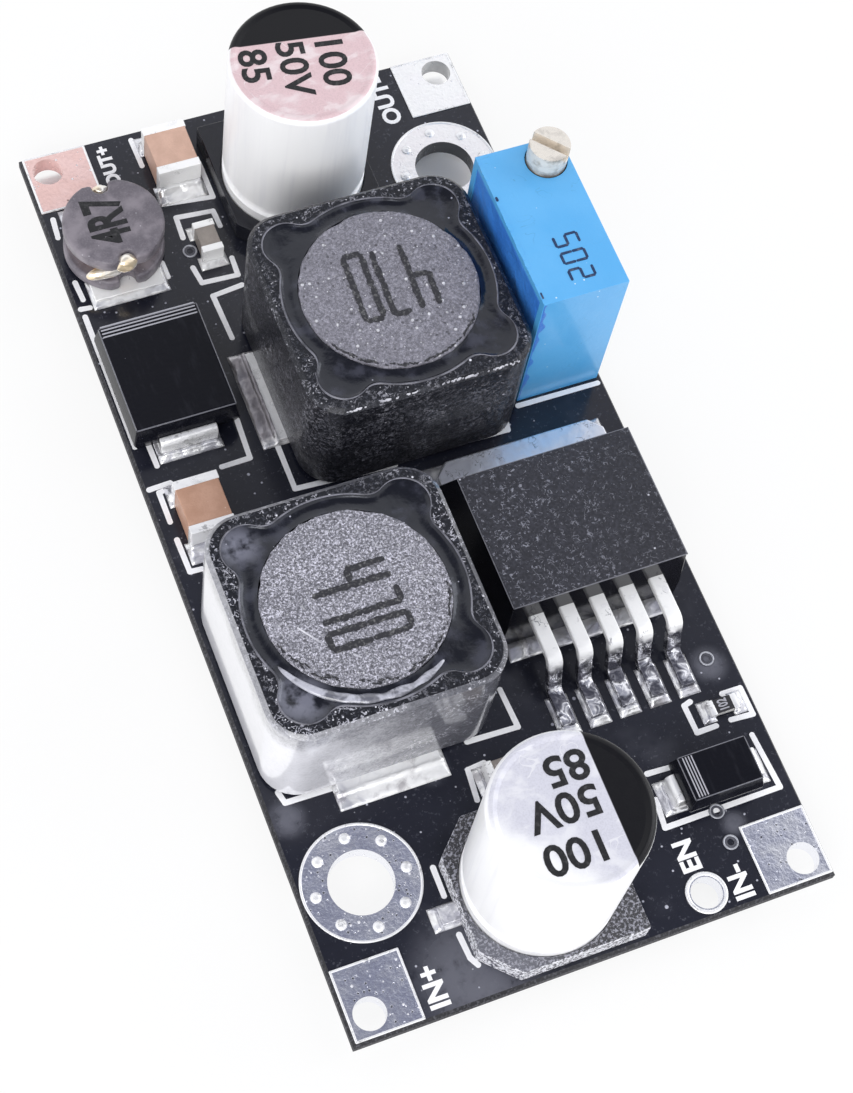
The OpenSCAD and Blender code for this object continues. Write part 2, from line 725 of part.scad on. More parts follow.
module solder_joints() {
    color(tin) {
        at_input_coil() rotate(90)
            fillet_pair(coil_w + 2 * coil_terminal_reach, coil_terminal_w, coil_terminal_t);
        at_output_coil() rotate(90)
            fillet_pair(coil_w + 2 * coil_terminal_reach, coil_terminal_w, coil_terminal_t);
        at_input_capacitor() fillet_pair(can_span, can_lead_w, can_lead_t);
        at_output_capacitor() fillet_pair(can_span, can_lead_w, can_lead_t);
        at_rectifier() fillet_pair(rectifier_span, rectifier_lead_w);
        at_diode() fillet_pair(diode_span, diode_lead_w);
        at_bypass() fillet_pair(ceramic_l, ceramic_w, ceramic_fillet_h, ceramic_land);
        at_coupling() fillet_pair(ceramic_l, ceramic_w, ceramic_fillet_h, ceramic_land);
        at_chip_capacitors() fillet_pair(chip_capacitor_l, chip_capacitor_w);
        at_resistor() fillet_pair(resistor_l, resistor_w, resistor_h * 0.8);
        at_filter_coil() fillet_pair(drum_span, drum_terminal_w, drum_terminal_t);
        at_controller() for (i = [0:4])
            translate([lead_x(i), -lead_reach, 0]) solder_fillet(lead_w, lead_t);
        at_trimmer() trimmer_pin_row() translate([0, 0, -board_t - cone_h]) difference() {
            cylinder(r1 = pin_r * 1.2, r2 = cone_r, h = cone_h);
            translate([0, 0, -eps]) cylinder(r = pin_r, h = cone_h + 2 * eps);
        }
    }
}

// Electrolytic capacitors, with their leads along Y
module can() {
    inner_rim = can_r - can_rim_r;
    color(bare_aluminium) rotate_extrude($fn = 96)
        polygon(concat([[0, can_floor_t], [can_r - crimp_depth, can_floor_t],
                [can_r, can_floor_t + crimp_depth]],
            arc([can_r + crimp_depth, crimp_z], crimp_depth * 2, 240, 120),
            arc([inner_rim, can_h - can_rim_r], can_rim_r, 0, 90),
            [[inner_rim - crimp_depth, can_h - crimp_depth / 3], [0, can_h - crimp_depth / 3]]));
}

module can_base() {
    half = can_base_w / 2;
    color(moulding) difference() {
        translate([0, 0, copper_t]) linear_extrude(can_base_h)
            polygon([[-half + can_base_cut, -half], [half - can_base_cut, -half],
                [half, -half + can_base_cut], [half, half], [-half, half], [-half, -half + can_base_cut]]);
        translate([0, 0, can_floor_t]) cylinder(r = can_r + run_gap, h = can_base_h + drop_cut);
        both_ends() translate([-can_lead_w / 2, -half - drop_cut, 0])
            cube([can_lead_w, can_lead_under + drop_cut, copper_t + can_lead_t]);
    }
}

module can_leads() {
    color(tin) both_ends() translate([-can_lead_w / 2, -can_span / 2, copper_t])
        cube([can_lead_w, can_lead_reach + can_lead_under, can_lead_t]);
}

module input_capacitor_can() { at_input_capacitor() can(); }
module input_capacitor_base() { at_input_capacitor() can_base(); }
module input_capacitor_leads() { at_input_capacitor() can_leads(); }
module output_capacitor_can() { at_output_capacitor() can(); }
module output_capacitor_base() { at_output_capacitor() can_base(); }
module output_capacitor_leads() { at_output_capacitor() can_leads(); }

// Power coils, with their terminals along X
module glue_outline() {
    hub = (glue_r + lobe_blend_r) * [cos(blend_turn), sin(blend_turn)];
    circle(glue_r);
    for (a = [45:90:315]) rotate(a) {
        translate([lobe_at, 0]) circle(lobe_r);
        for (side = [0, 1]) mirror([0, side]) difference() {
            polygon([[0, 0], [lobe_at, 0], hub]);
            translate(hub) circle(lobe_blend_r);
        }
    }
}

module coil_shield() {
    color(ferrite) difference() {
        hull() {
            translate([0, 0, coil_foot_z]) linear_extrude(coil_h - coil_foot_z - coil_chamfer)
                rounded_square(coil_w, coil_corner_r, $fn = 32);
            translate([0, 0, coil_foot_z]) linear_extrude(coil_h - coil_foot_z)
                rounded_square(coil_w - 2 * coil_chamfer, coil_corner_r - coil_chamfer, $fn = 32);
        }
        cylinder(r = glue_r, h = coil_h + drop_cut);
        translate([0, 0, coil_h - glue_depth]) linear_extrude(glue_depth + drop_cut) glue_outline();
    }
}

module coil_core() {
    top = coil_h + core_proud;
    color("#6f6f78") rotate_extrude()
        polygon([[0, coil_foot_z], [core_r, coil_foot_z], [core_r, coil_foot_z + flange_t],
            [post_r, coil_foot_z + flange_t], [post_r, top - flange_t], [core_r, top - flange_t],
            [core_r, top], [0, top]]);
}

module coil_winding() {
    color(copper) translate([0, 0, coil_foot_z + flange_t])
        tube(core_r - winding_slack, post_r, coil_h + core_proud - coil_foot_z - 2 * flange_t);
}

module coil_glue() {
    color(moulding) translate([0, 0, coil_h - glue_depth]) linear_extrude(glue_depth - glue_sunk)
        difference() {
            glue_outline();
            circle(core_r);
        }
}

module coil_terminals() {
    color(tin) rotate(90) both_ends()
        translate([-coil_terminal_w / 2, -coil_w / 2 - coil_terminal_reach, copper_t])
            cube([coil_terminal_w, coil_terminal_reach + coil_terminal_under, coil_terminal_t]);
}

module input_coil_shield() { at_input_coil() coil_shield(); }
module input_coil_core() { at_input_coil() coil_core(); }
module input_coil_winding() { at_input_coil() coil_winding(); }
module input_coil_glue() { at_input_coil() coil_glue(); }
module input_coil_terminals() { at_input_coil() coil_terminals(); }
module output_coil_shield() { at_output_coil() coil_shield(); }
module output_coil_core() { at_output_coil() coil_core(); }
module output_coil_winding() { at_output_coil() coil_winding(); }
module output_coil_glue() { at_output_coil() coil_glue(); }
module output_coil_terminals() { at_output_coil() coil_terminals(); }

// Controller, with the foot of its front face on the X axis and its tab towards +Y
function lead_x(i) = (i - 2) * lead_pitch;
function lead_drop() = lead_z - copper_t - lead_t / 2;
function lead_fall() = (lead_drop() - 2 * lead_bend_r * (1 - cos(lead_slope))) / sin(lead_slope);
function lead_run() = 2 * lead_bend_r * sin(lead_slope) + lead_fall() * cos(lead_slope);
function lead_foot() = lead_reach - lead_shoulder - lead_run();

module controller_tab() {
    half = controller_w / 2 - controller_draft;
    back = controller_l + tab_reach;
    color("#cfd4e2") translate([0, 0, copper_t]) linear_extrude(tab_t)
        polygon([[-half, controller_l / 2], [half, controller_l / 2], [half, back - tab_cut],
            [half - tab_cut, back], [-half + tab_cut, back], [-half, back - tab_cut]]);
}

module controller_body() {
    foot_z = copper_t + tab_t;
    side = controller_draft;
    color(moulding) difference() {
        hull() {
            translate([-controller_w / 2, 0, copper_t]) cube([controller_w, controller_l, tab_t]);
            translate([-controller_w / 2 + side, side, foot_z])
                cube([controller_w - 2 * side, controller_l - side - controller_back_draft,
                    controller_h - foot_z]);
        }
        translate([-controller_w / 2 + side, controller_l / 2, 0])
            cube([controller_w - 2 * side, controller_l, foot_z]);
        for (i = [0:4]) translate([lead_x(i), 0, 0]) lead_blank();
    }
}

module lead_blank() {
    translate([-lead_w / 2, -drop_cut, lead_z - lead_t / 2])
        cube([lead_w, drop_cut + controller_draft + lead_t, lead_t]);
}

module controller_lead(i) {
    root = controller_draft + lead_t;
    color(tin) at_controller() translate([lead_x(i), root, lead_z])
        bent_strip([[root + lead_shoulder, -lead_slope], [lead_fall(), lead_slope], [lead_foot(), 0]],
            lead_bend_r, lead_t, lead_w);
}

module controller_lead_1() { controller_lead(0); }
module controller_lead_2() { controller_lead(1); }
module controller_lead_3() { controller_lead(2); }
module controller_lead_4() { controller_lead(3); }
module controller_lead_5() { controller_lead(4); }

// Trimmer, with its open side towards -X and its screw at the far right corner
module trimmer_pin_row() {
    for (i = [-1, 0, 1]) translate([pin_x, i * pin_pitch, 0]) children();
}

module trimmer_cavity_slab(x, w, gap = 0) {
    translate([x, -trimmer_l / 2 + trimmer_wall + gap, trimmer_floor + gap])
        cube([w, trimmer_l - 2 * trimmer_wall - 2 * gap, trimmer_roof - trimmer_floor - 2 * gap]);
}

// A slab of the outline of the cover that closes the case's open side
module trimmer_cover(x, w) {
    translate([x, -trimmer_l / 2 + plate_rim, trimmer_foot + plate_rim])
        cube([w, trimmer_l - 2 * plate_rim, trimmer_h - trimmer_foot - 2 * plate_rim]);
}

module trimmer_case() {
    foot_l = trimmer_wall * 1.6;
    color(trimmer_blue) at_trimmer() {
        difference() {
            slab(trimmer_w, trimmer_l, trimmer_h - trimmer_foot, trimmer_foot);
            trimmer_cavity_slab(-trimmer_w / 2, trimmer_w - trimmer_wall);
            trimmer_cover(-trimmer_w / 2 - drop_cut, plate_sunk + plate_t + drop_cut);
            translate([screw_x, screw_y, 0]) {
                translate([0, 0, trimmer_h - screw_recess])
                    cylinder(r = screw_head_r + run_gap, h = screw_recess + drop_cut);
                translate([0, 0, trimmer_floor]) cylinder(r = worm_r + run_gap,
                    h = trimmer_roof - trimmer_floor);
                translate([0, 0, trimmer_foot + trimmer_wall / 2])
                    cylinder(r = pivot_r + run_gap, h = trimmer_wall);
                cylinder_from(trimmer_roof - eps, trimmer_h, screw_neck_r + run_gap);
            }
            trimmer_pin_row() cylinder(r = pin_r, h = trimmer_floor + drop_cut);
        }
        translate([wheel_x, wheel_y, wheel_z]) rotate([0, 90, 0])
            cylinder(r = wheel_pin_r, h = wheel_t + run_gap);
        for (y = [-1, 1]) translate([0, y * (trimmer_l - foot_l) / 2, 0])
            slab(trimmer_w, foot_l, trimmer_foot);
    }
}

module cylinder_from(low, high, r) {
    translate([0, 0, low]) cylinder(r = r, h = high - low);
}

module trimmer_side_plate() {
    color("#3188d8") at_trimmer() trimmer_cover(plate_x, plate_t);
}

module trimmer_element() {
    color("#e9e4da") at_trimmer() trimmer_cavity_slab(element_x, element_t);
}

module trimmer_pins() {
    color(tin) at_trimmer() trimmer_pin_row()
        cylinder_from(-board_t - pin_tail, trimmer_floor + pin_pitch / 3, pin_r);
}

module trimmer_screw() {
    head_z = trimmer_h - screw_recess + seal_t + run_gap;
    top = trimmer_h + screw_proud;
    color(brass) at_trimmer() translate([screw_x, screw_y, 0]) difference() {
        union() {
            cylinder_from(head_z, top, screw_head_r);
            cylinder_from(trimmer_roof - run_gap, head_z, screw_neck_r);
            cylinder_from(trimmer_floor + run_gap, trimmer_roof - run_gap, worm_r);
            cylinder_from(trimmer_foot + trimmer_wall / 2 + run_gap, trimmer_floor + run_gap, pivot_r);
        }
        rotate(screw_slot_turn)
            slab(screw_slot_w, 4 * screw_head_r, screw_slot_depth + drop_cut, top - screw_slot_depth);
    }
}

module trimmer_seal() {
    color("#202022") at_trimmer() translate([screw_x, screw_y, trimmer_h - screw_recess])
        tube(screw_head_r + run_gap, screw_neck_r + run_gap, seal_t);
}

module trimmer_worm_wheel() {
    root_r = wheel_r - tooth_h;
    step = 360 / wheel_teeth;
    color("#e8e2d2") at_trimmer() translate([wheel_x, wheel_y, wheel_z]) rotate([0, 90, 0])
        linear_extrude(wheel_t) difference() {
            polygon([for (i = [0:wheel_teeth - 1], k = [[0, root_r], [0.25, root_r], [0.4, wheel_r],
                    [0.85, wheel_r]]) k[1] * [cos((i + k[0]) * step), sin((i + k[0]) * step)]]);
            circle(wheel_pin_r + run_gap);
        }
}

module trimmer_wiper() {
    color(brass) at_trimmer() translate([wheel_x - wiper_t, wheel_y, wheel_z]) rotate([0, 90, 0])
        linear_extrude(wiper_t) difference() {
            union() {
                circle(wheel_pin_r * 2);
                translate([-wheel_pin_r, 0]) square([2 * wheel_pin_r, wheel_r - 2 * tooth_h]);
            }
            circle(wheel_pin_r + run_gap);
        }
}

// Diodes, with their leads along Y
module diode_body(w, l, h) {
    inset = 2 * diode_draft;
    color(moulding) hull() {
        slab(w - inset, l - inset, h - diode_foot_z, diode_foot_z);
        slab(w, l, diode_lead_t, diode_parting - diode_lead_t / 2);
    }
}

module diode_lead(l, w) {
    bend_r = diode_lead_t * 0.9;
    drop = diode_parting - copper_t - diode_lead_t / 2;
    out = diode_lead_reach - bend_r - diode_lead_t / 2;
    color(tin) translate([0, -l / 2, diode_parting])
        bent_strip([[out, -90], [drop - 2 * bend_r, -90], [out + diode_foot, 0]], bend_r, diode_lead_t, w);
}

module rectifier_body() { at_rectifier() diode_body(rectifier_w, rectifier_l, rectifier_h); }
module rectifier_anode_lead() { at_rectifier() diode_lead(rectifier_l, rectifier_lead_w); }
module rectifier_cathode_lead() { at_rectifier() rotate(180) diode_lead(rectifier_l, rectifier_lead_w); }
module input_diode_body() { at_diode() diode_body(diode_w, diode_l, diode_h); }
module input_diode_anode_lead() { at_diode() diode_lead(diode_l, diode_lead_w); }
module input_diode_cathode_lead() { at_diode() rotate(180) diode_lead(diode_l, diode_lead_w); }

// Ceramic chips, with their tinned ends along Y
module chip_body(w, l, h) {
    slab(w - 2 * end_t, l - 2 * end_t, h - 2 * end_t, copper_t + end_t);
}

module chip_ends(w, l, h, end_l) {
    color(tin) difference() {
        both_ends() translate([-w / 2, -l / 2, copper_t]) cube([w, end_l, h]);
        chip_body(w, l, h);
    }
}

module bypass_capacitor_body() {
    color("#b98d74") at_bypass() chip_body(ceramic_w, ceramic_l, ceramic_h);
}
module bypass_capacitor_ends() { at_bypass() chip_ends(ceramic_w, ceramic_l, ceramic_h, ceramic_end_l); }
module coupling_capacitor_body() {
    color("#b98d74") at_coupling() chip_body(ceramic_w, ceramic_l, ceramic_h);
}
module coupling_capacitor_ends() { at_coupling() chip_ends(ceramic_w, ceramic_l, ceramic_h, ceramic_end_l); }
module enable_resistor_body() {
    color("#efeeea") at_resistor() chip_body(resistor_w, resistor_l, resistor_h);
}
module enable_resistor_ends() { at_resistor() chip_ends(resistor_w, resistor_l, resistor_h, resistor_end_l); }

module chip_capacitor_bodies() {
    color("#8d857c") at_chip_capacitors() chip_body(chip_capacitor_w, chip_capacitor_l, chip_capacitor_h);
}

module chip_capacitor_ends() {
    at_chip_capacitors()
        chip_ends(chip_capacitor_w, chip_capacitor_l, chip_capacitor_h, chip_capacitor_end_l);
}

module enable_resistor_coat() {
    color("#232428") at_resistor()
        slab(resistor_w - 2 * end_t, resistor_l - 2 * resistor_end_l, coat_t, copper_t + resistor_h - end_t);
}

// Filter coil: an open drum core with its notches along Y
module drum_outline() {
    difference() {
        intersection() {
            circle(drum_r);
            square([3 * drum_r, drum_l], center = true);
        }
        both_ends() translate([0, -drum_l / 2]) {
            translate([-drum_notch_w / 2, -drop_cut])
                square([drum_notch_w, drop_cut + drum_notch_depth - drum_notch_w / 2]);
            translate([0, drum_notch_depth - drum_notch_w / 2]) circle(drum_notch_w / 2);
        }
    }
}

module filter_coil_core() {
    foot_z = copper_t + drum_terminal_t;
    color("#3c3a3a") at_filter_coil() {
        translate([0, 0, foot_z]) linear_extrude(drum_flange_t) drum_outline();
        cylinder_from(foot_z, drum_h, drum_post_r);
        translate([0, 0, drum_h - drum_flange_t]) linear_extrude(drum_flange_t) drum_outline();
    }
}

module filter_coil_winding() {
    low = copper_t + drum_terminal_t + drum_flange_t;
    turns = floor((drum_h - drum_flange_t - low) / (2 * drum_wire_r));
    layer_r = drum_l / 2 - drum_notch_depth - drum_wire_r;
    pitch = (drum_h - drum_flange_t - low) / turns;
    color(copper) at_filter_coil() rotate_extrude()
        polygon(concat([[drum_post_r, low], [layer_r, low]],
            [for (i = [0:turns - 1]) each arc([layer_r, low + (i + 0.5) * pitch], pitch / 2, -80, 80, 6)],
            [[layer_r, low + turns * pitch], [drum_post_r, low + turns * pitch]]));
}

module filter_coil_terminals() {
    color(tin) at_filter_coil() both_ends()
        translate([-drum_terminal_w / 2, -drum_span / 2, copper_t])
            cube([drum_terminal_w, drum_terminal_reach + drum_terminal_under, drum_terminal_t]);
}

board();
in_positive_pad();
in_negative_pad();
out_positive_pad();
out_negative_pad();
in_mount_ring();
out_mount_ring();
enable_pad();
vias();
solder_lands();
solder_joints();
input_capacitor_can();
input_capacitor_base();
input_capacitor_leads();
output_capacitor_can();
output_capacitor_base();
output_capacitor_leads();
input_coil_shield();
input_coil_core();
input_coil_winding();
input_coil_glue();
input_coil_terminals();
output_coil_shield();
output_coil_core();
output_coil_winding();
output_coil_glue();
output_coil_terminals();
at_controller() controller_body();
at_controller() controller_tab();
controller_lead_1();
controller_lead_2();
controller_lead_3();
controller_lead_4();
controller_lead_5();
trimmer_case();
trimmer_side_plate();
trimmer_screw();
trimmer_seal();
trimmer_worm_wheel();
trimmer_wiper();
trimmer_element();
trimmer_pins();
rectifier_body();
rectifier_cathode_lead();
rectifier_anode_lead();
input_diode_body();
input_diode_cathode_lead();
input_diode_anode_lead();
filter_coil_core();
filter_coil_winding();
filter_coil_terminals();
bypass_capacitor_body();
bypass_capacitor_ends();
coupling_capacitor_body();
coupling_capacitor_ends();
chip_capacitor_bodies();
chip_capacitor_ends();
enable_resistor_body();
enable_resistor_ends();
enable_resistor_coat();
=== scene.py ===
"""Looks of a voltage converter board: finishes, solder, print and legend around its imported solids."""

import bisect
import json
import math

import bmesh
import bpy
from mathutils import Euler, Matrix, Vector, noise

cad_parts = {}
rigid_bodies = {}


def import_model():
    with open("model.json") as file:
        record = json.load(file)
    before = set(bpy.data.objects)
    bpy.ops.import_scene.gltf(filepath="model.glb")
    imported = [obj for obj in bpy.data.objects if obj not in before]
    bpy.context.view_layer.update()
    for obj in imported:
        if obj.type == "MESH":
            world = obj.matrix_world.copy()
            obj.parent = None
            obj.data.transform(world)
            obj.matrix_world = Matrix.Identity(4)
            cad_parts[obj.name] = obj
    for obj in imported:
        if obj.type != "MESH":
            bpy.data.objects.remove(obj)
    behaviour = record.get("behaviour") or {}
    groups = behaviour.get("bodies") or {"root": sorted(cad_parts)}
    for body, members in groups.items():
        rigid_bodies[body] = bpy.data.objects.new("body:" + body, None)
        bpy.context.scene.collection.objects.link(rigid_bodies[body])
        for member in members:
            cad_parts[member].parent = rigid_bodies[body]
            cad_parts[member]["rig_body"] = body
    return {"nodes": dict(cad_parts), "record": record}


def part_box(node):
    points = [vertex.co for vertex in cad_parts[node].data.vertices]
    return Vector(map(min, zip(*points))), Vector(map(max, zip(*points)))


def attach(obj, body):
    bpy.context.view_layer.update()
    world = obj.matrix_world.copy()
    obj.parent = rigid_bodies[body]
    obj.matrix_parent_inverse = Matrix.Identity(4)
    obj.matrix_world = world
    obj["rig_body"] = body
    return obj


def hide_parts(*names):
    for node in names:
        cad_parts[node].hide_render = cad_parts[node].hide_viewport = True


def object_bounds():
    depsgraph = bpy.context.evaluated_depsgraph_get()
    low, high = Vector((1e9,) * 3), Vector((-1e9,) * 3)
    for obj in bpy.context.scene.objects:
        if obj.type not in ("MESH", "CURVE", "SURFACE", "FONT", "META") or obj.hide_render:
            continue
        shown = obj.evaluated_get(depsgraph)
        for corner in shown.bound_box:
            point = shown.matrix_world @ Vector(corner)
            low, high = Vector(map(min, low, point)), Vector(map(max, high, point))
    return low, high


MM = 0.001

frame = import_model()
cad_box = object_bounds()
nodes = frame["nodes"]
BOARD_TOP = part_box("vias")[0].z / MM
slots = {part["node"]: part["material_slot"] for part in frame["record"]["subparts"]}


def box_mm(node):
    """Lowest and highest corners of a CAD node, in mm."""
    return tuple(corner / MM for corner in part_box(node))


def top_of(node):
    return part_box(node)[1].z / MM


def centre_at(low, high, z):
    return Vector(((low.x + high.x) / 2, (low.y + high.y) / 2, z))


def wave(x, row):
    """Smooth noise along one of its rows."""
    return noise.noise(Vector((x, row, 0)))


def shade(colour, share):
    return tuple(c * share for c in colour)


def placed(name, data):
    """A new object in the scene."""
    made = bpy.data.objects.new(name, data)
    bpy.context.scene.collection.objects.link(made)
    return made


def meshed(bm, name, finish):
    """A bmesh as a new object in the scene."""
    mesh = bpy.data.meshes.new(name)
    bm.to_mesh(mesh)
    bm.free()
    mesh.materials.append(finish.material)
    return placed(name, mesh)


# Camera, in the photograph's place: its focal length in pixels of a frame so many pixels high
FRAME_H = 1093
FOCAL_PX = 2384.75
camera = placed("camera", bpy.data.cameras.new("camera"))
camera.data.sensor_width = 36.0
camera.data.lens = FOCAL_PX * camera.data.sensor_width / FRAME_H
camera.data.clip_start = 0.001
camera.location = Vector((-31.42, -49.91, 114.87)) * MM
camera.rotation_euler = Euler((0.45127, -0.10659, -0.37434))
bpy.context.scene.camera = camera


class Value:
    """A shader socket that takes part in Python arithmetic."""

    def __init__(self, finish, socket):
        self.finish, self.socket = finish, socket

    def math(self, operation, first, second=0.0):
        return self.finish.node("ShaderNodeMath", {"operation": operation}, {0: first, 1: second})

    def __add__(self, other):
        return self.math("ADD", self, other)

    def __sub__(self, other):
        return self.math("SUBTRACT", self, other)

    def __rsub__(self, other):
        return self.math("SUBTRACT", other, self)

    def __mul__(self, other):
        return self.math("MULTIPLY", self, other)

    def __abs__(self):
        return self.math("ABSOLUTE", self)

    __radd__ = __add__
    __rmul__ = __mul__


class Nodes:
    """A node tree whose maths is written as Python expressions."""

    def __init__(self, tree):
        self.tree = tree

    def node(self, kind, settings, sockets, out=0):
        made = self.tree.nodes.new(kind)
        for name, value in settings.items():
            setattr(made, name, value)
        for name, value in sockets.items():
            if isinstance(value, Value):
                self.tree.links.new(value.socket, made.inputs[name])
            else:
                made.inputs[name].default_value = value
        return Value(self, made.outputs[out])

    def axis(self, letter, vector):
        return self.node("ShaderNodeSeparateXYZ", {}, {0: vector}, letter)

    def between(self, value, low, high):
        return self.node("ShaderNodeMapRange", {"interpolation_type": "SMOOTHSTEP"},
            {"Value": value, "From Min": low, "From Max": high})

    def mix(self, share, first, second):
        colours = [c if isinstance(c, Value) else (*c, 1.0) for c in (first, second)]
        return self.node("ShaderNodeMix", {"data_type": "RGBA"}, {0: share, 6: colours[0], 7: colours[1]}, 2)

    def layers(self, tone, *coats):
        """A tone under coats, each a share and a colour."""
        for share, colour in coats:
            tone = self.mix(share, tone, colour)
        return tone


class Finish(Nodes):
    """One material: its shader, and patterns that read the object's coordinates in millimetres."""

    def __init__(self, name, **constants):
        self.material = bpy.data.materials.new(name)
        self.material.use_nodes = True
        super().__init__(self.material.node_tree)
        self.shader = self.tree.nodes["Principled BSDF"]
        self.at = self.scaled(self.node("ShaderNodeTexCoord", {}, {}, "Object"), (1 / MM,) * 3)
        for name, value in constants.items():
            self.shader.inputs[name.replace("_", " ").title().replace("Ior", "IOR")].default_value = value

    def scaled(self, vector, factors):
        return self.node("ShaderNodeVectorMath", {"operation": "MULTIPLY"}, {0: vector, 1: factors})

    def noise(self, scale, detail=2.0, rough=0.5, at=None, warp=0.0):
        return self.node("ShaderNodeTexNoise", {}, {"Vector": at or self.at, "Scale": scale,
            "Detail": detail, "Roughness": rough, "Distortion": warp})

    def patches(self, low, high, scale, *rest, **settings):
        """Patches of a noise: 0 where it is below low, 1 where it is above high."""
        return self.between(self.noise(scale, *rest, **settings), low, high)

    def cells(self, scale, out="Distance"):
        return self.node("ShaderNodeTexVoronoi", {}, {"Vector": self.at, "Scale": scale}, out)

    def specks(self, scale, size, share):
        """Dots of a size in mm on a share of the cells, of which there are scale to the mm."""
        chosen = self.axis("X", self.cells(scale, "Color"))
        reach = size * scale
        dots = self.between(self.cells(scale), reach, reach * 0.6)
        return dots * self.between(chosen, 1 - share, 1.01 - share)

    def strokes(self, scale, width, warp=0.9):
        """Short winding lines, where a twisted noise crosses its middle."""
        return self.between(abs(self.noise(scale, 2.0, 0.5, warp=warp) - 0.5), width, width * 0.35)

    def near(self, spot, radius):
        """1 at a place on the board, fading to 0 at a radius, both in mm."""
        away = self.node("ShaderNodeVectorMath", {"operation": "DISTANCE"},
            {0: self.scaled(self.at, (1, 1, 0)), 1: (*spot, 0)}, "Value")
        return self.between(away, radius, radius * 0.2)

    def spots(self, places):
        return sum(self.near(spot, radius) for spot, radius in places)

    def across(self, way, middle):
        """Distance from a middle in a flat direction, in mm."""
        run = self.node("ShaderNodeVectorMath", {"operation": "DOT_PRODUCT"},
            {0: self.at, 1: (*way, 0)}, "Value")
        return run - (middle.x * way[0] + middle.y * way[1])

    def upward(self):
        return self.axis("Z", self.node("ShaderNodeNewGeometry", {}, {}, "Normal"))

    def wear(self, tone, rough, height, depth, **more):
        """Links what changes over the surface: colour, roughness, relief with its depth in mm, and others."""
        relief = self.node("ShaderNodeBump", {}, {"Height": height, "Distance": depth * MM})
        links = {"base_color": tone, "roughness": rough, "normal": relief, **more}
        for name, value in links.items():
            self.tree.links.new(value.socket, self.shader.inputs[name.replace("_", " ").title()])
        return self


# Finishes: a cool tint of gloss, the way along which a painted highlight whitens a can's top, where along the
# board's width the controller's face turns darker, and soft spots on the board with their radii, in mm; the
# glue's spots are a painted sheen and the white solder's are painted highlights
COOL = (0.86, 0.89, 1.0, 1.0)
PAINTED_HIGHLIGHT_WAY = (-0.74, -0.67)
CONTROLLER_FADE = (4.5, 14.5)
GLUE_SHEEN = [((-10.9, -11.9), 1.9), ((-11.0, -3.4), 1.5)]
FOOT_HAZE = [((-5.2, -25.6), 4.2)]
DULL_SOLDER = [((-5.0, 9.7), 2.6), ((-5.2, 7.0), 2.6)]
SOLDER_HIGHLIGHTS = [((-5.4, -14.5), 4.5), ((-4.7, 5.2), 0.9), ((-10.1, 17.0), 2.6), ((-5.0, 22.0), 1.6),
    ((-4.9, 18.0), 2.4)]
FLUX = [((-6.3, -25.4), 4.2), ((-12.2, -14.9), 1.3), ((-4.4, -14.7), 1.2), ((9.2, -22.6), 0.9),
    ((11.6, -14.2), 1.3)]


def black_mask():
    """Solder mask over copper: gloss, dust, dried flux, and the bare glass epoxy at the scored edges."""
    f = Finish("black solder mask", specular_ior_level=0.45)
    side = 1 - f.between(abs(f.upward()), 0.55, 0.8)
    dust = f.specks(1.5, 0.075, 0.55) + f.specks(0.7, 0.12, 0.3)
    flux = (f.patches(0.55, 0.8, 0.3, 3.0) * 0.2 + f.spots(FLUX)) * f.patches(0.1, 0.55, 1.2, 4.0, 0.6)
    weave = f.noise(9.0, 3.0, at=f.scaled(f.at, (1.0, 1.0, 0.35)))
    dirt = f.patches(0.58, 0.72, 4.2, 3.0, 0.7)
    coat = f.layers((0.0095, 0.0106, 0.0185), (f.noise(0.4, 2.0), (0.0175, 0.019, 0.030)),
        (flux * 0.85, (0.135, 0.138, 0.17)), (dirt * 0.3, (0.16, 0.165, 0.20)), (dust, (0.46, 0.47, 0.55)))
    epoxy = f.mix(f.between(weave, 0.45, 0.75), (0.011, 0.011, 0.015), (0.08, 0.08, 0.095))
    peel = f.noise(3.0, 2.0) * 0.6 + f.noise(12.0) * 0.15
    return f.wear(f.mix(side, coat, epoxy), 0.15 + flux * 0.25 + side * 0.45 + dust * 0.4,
        peel + flux * 2 + weave * side * 4 + dust * 5, 0.006)


def levelled_tin(name, dull, bright, shine=1.0, bore_shade=1.0):
    """Hot-air levelled tin: a mirror with an uneven skin, pale flecks, partly painted glints, and dark pits;
    its bores darkened by a share, a painted shade.
    """
    f = Finish(name, metallic=shine)
    mottle = f.patches(0.36, 0.66, 0.8, 4.0, 0.6)
    skin = f.noise(5.5, 3.0, 0.62)
    # Pale flecks: partly painted glints on small bumps.
    flecks_and_glints = f.specks(1.9, 0.085, 0.3) + f.specks(3.6, 0.05, 0.3)
    pits = f.specks(3.1, 0.08, max(0.0, shine - 0.45))
    # Painted shade: the bores darken to a share of the bright tone.
    inside = 1 - f.between(abs(f.upward()), 0.4, 0.7)
    dim = f.between(skin, 0.42, 0.62) * 0.35 * shine
    tone = f.layers(dull, (mottle, bright), (dim, shade(dull, 0.72)), (pits * 0.9, shade(dull, 0.22)),
        (flecks_and_glints, (0.96, 0.96, 1.0)), (inside, shade(bright, bore_shade)))
    return f.wear(tone, 0.16 + mottle * 0.08 + flecks_and_glints * 0.5,
        f.noise(1.2, 2.0) * 0.6 + skin * 0.42 + flecks_and_glints * 0.9 - pits * 0.9, 0.04)


def plated_lead(name, colour, rough, shine=0.4):
    """Tin-plated metal: small dents, nicks and darker smears."""
    f = Finish(name, metallic=shine)
    smear = f.patches(0.55, 0.8, 1.0, 3.0)
    nicks = f.strokes(2.4, 0.03) * f.patches(0.56, 0.62, 0.9)
    haze = f.noise(5.0, 3.0)
    tone = f.layers(colour, (smear * 0.8, shade(colour, 0.7)), (nicks * 0.7, shade(colour, 0.3)))
    return f.wear(tone, rough + smear * 0.14 + haze * 0.08, haze * 0.12 + f.noise(1.5, 2.0) * 1.6, 0.016)


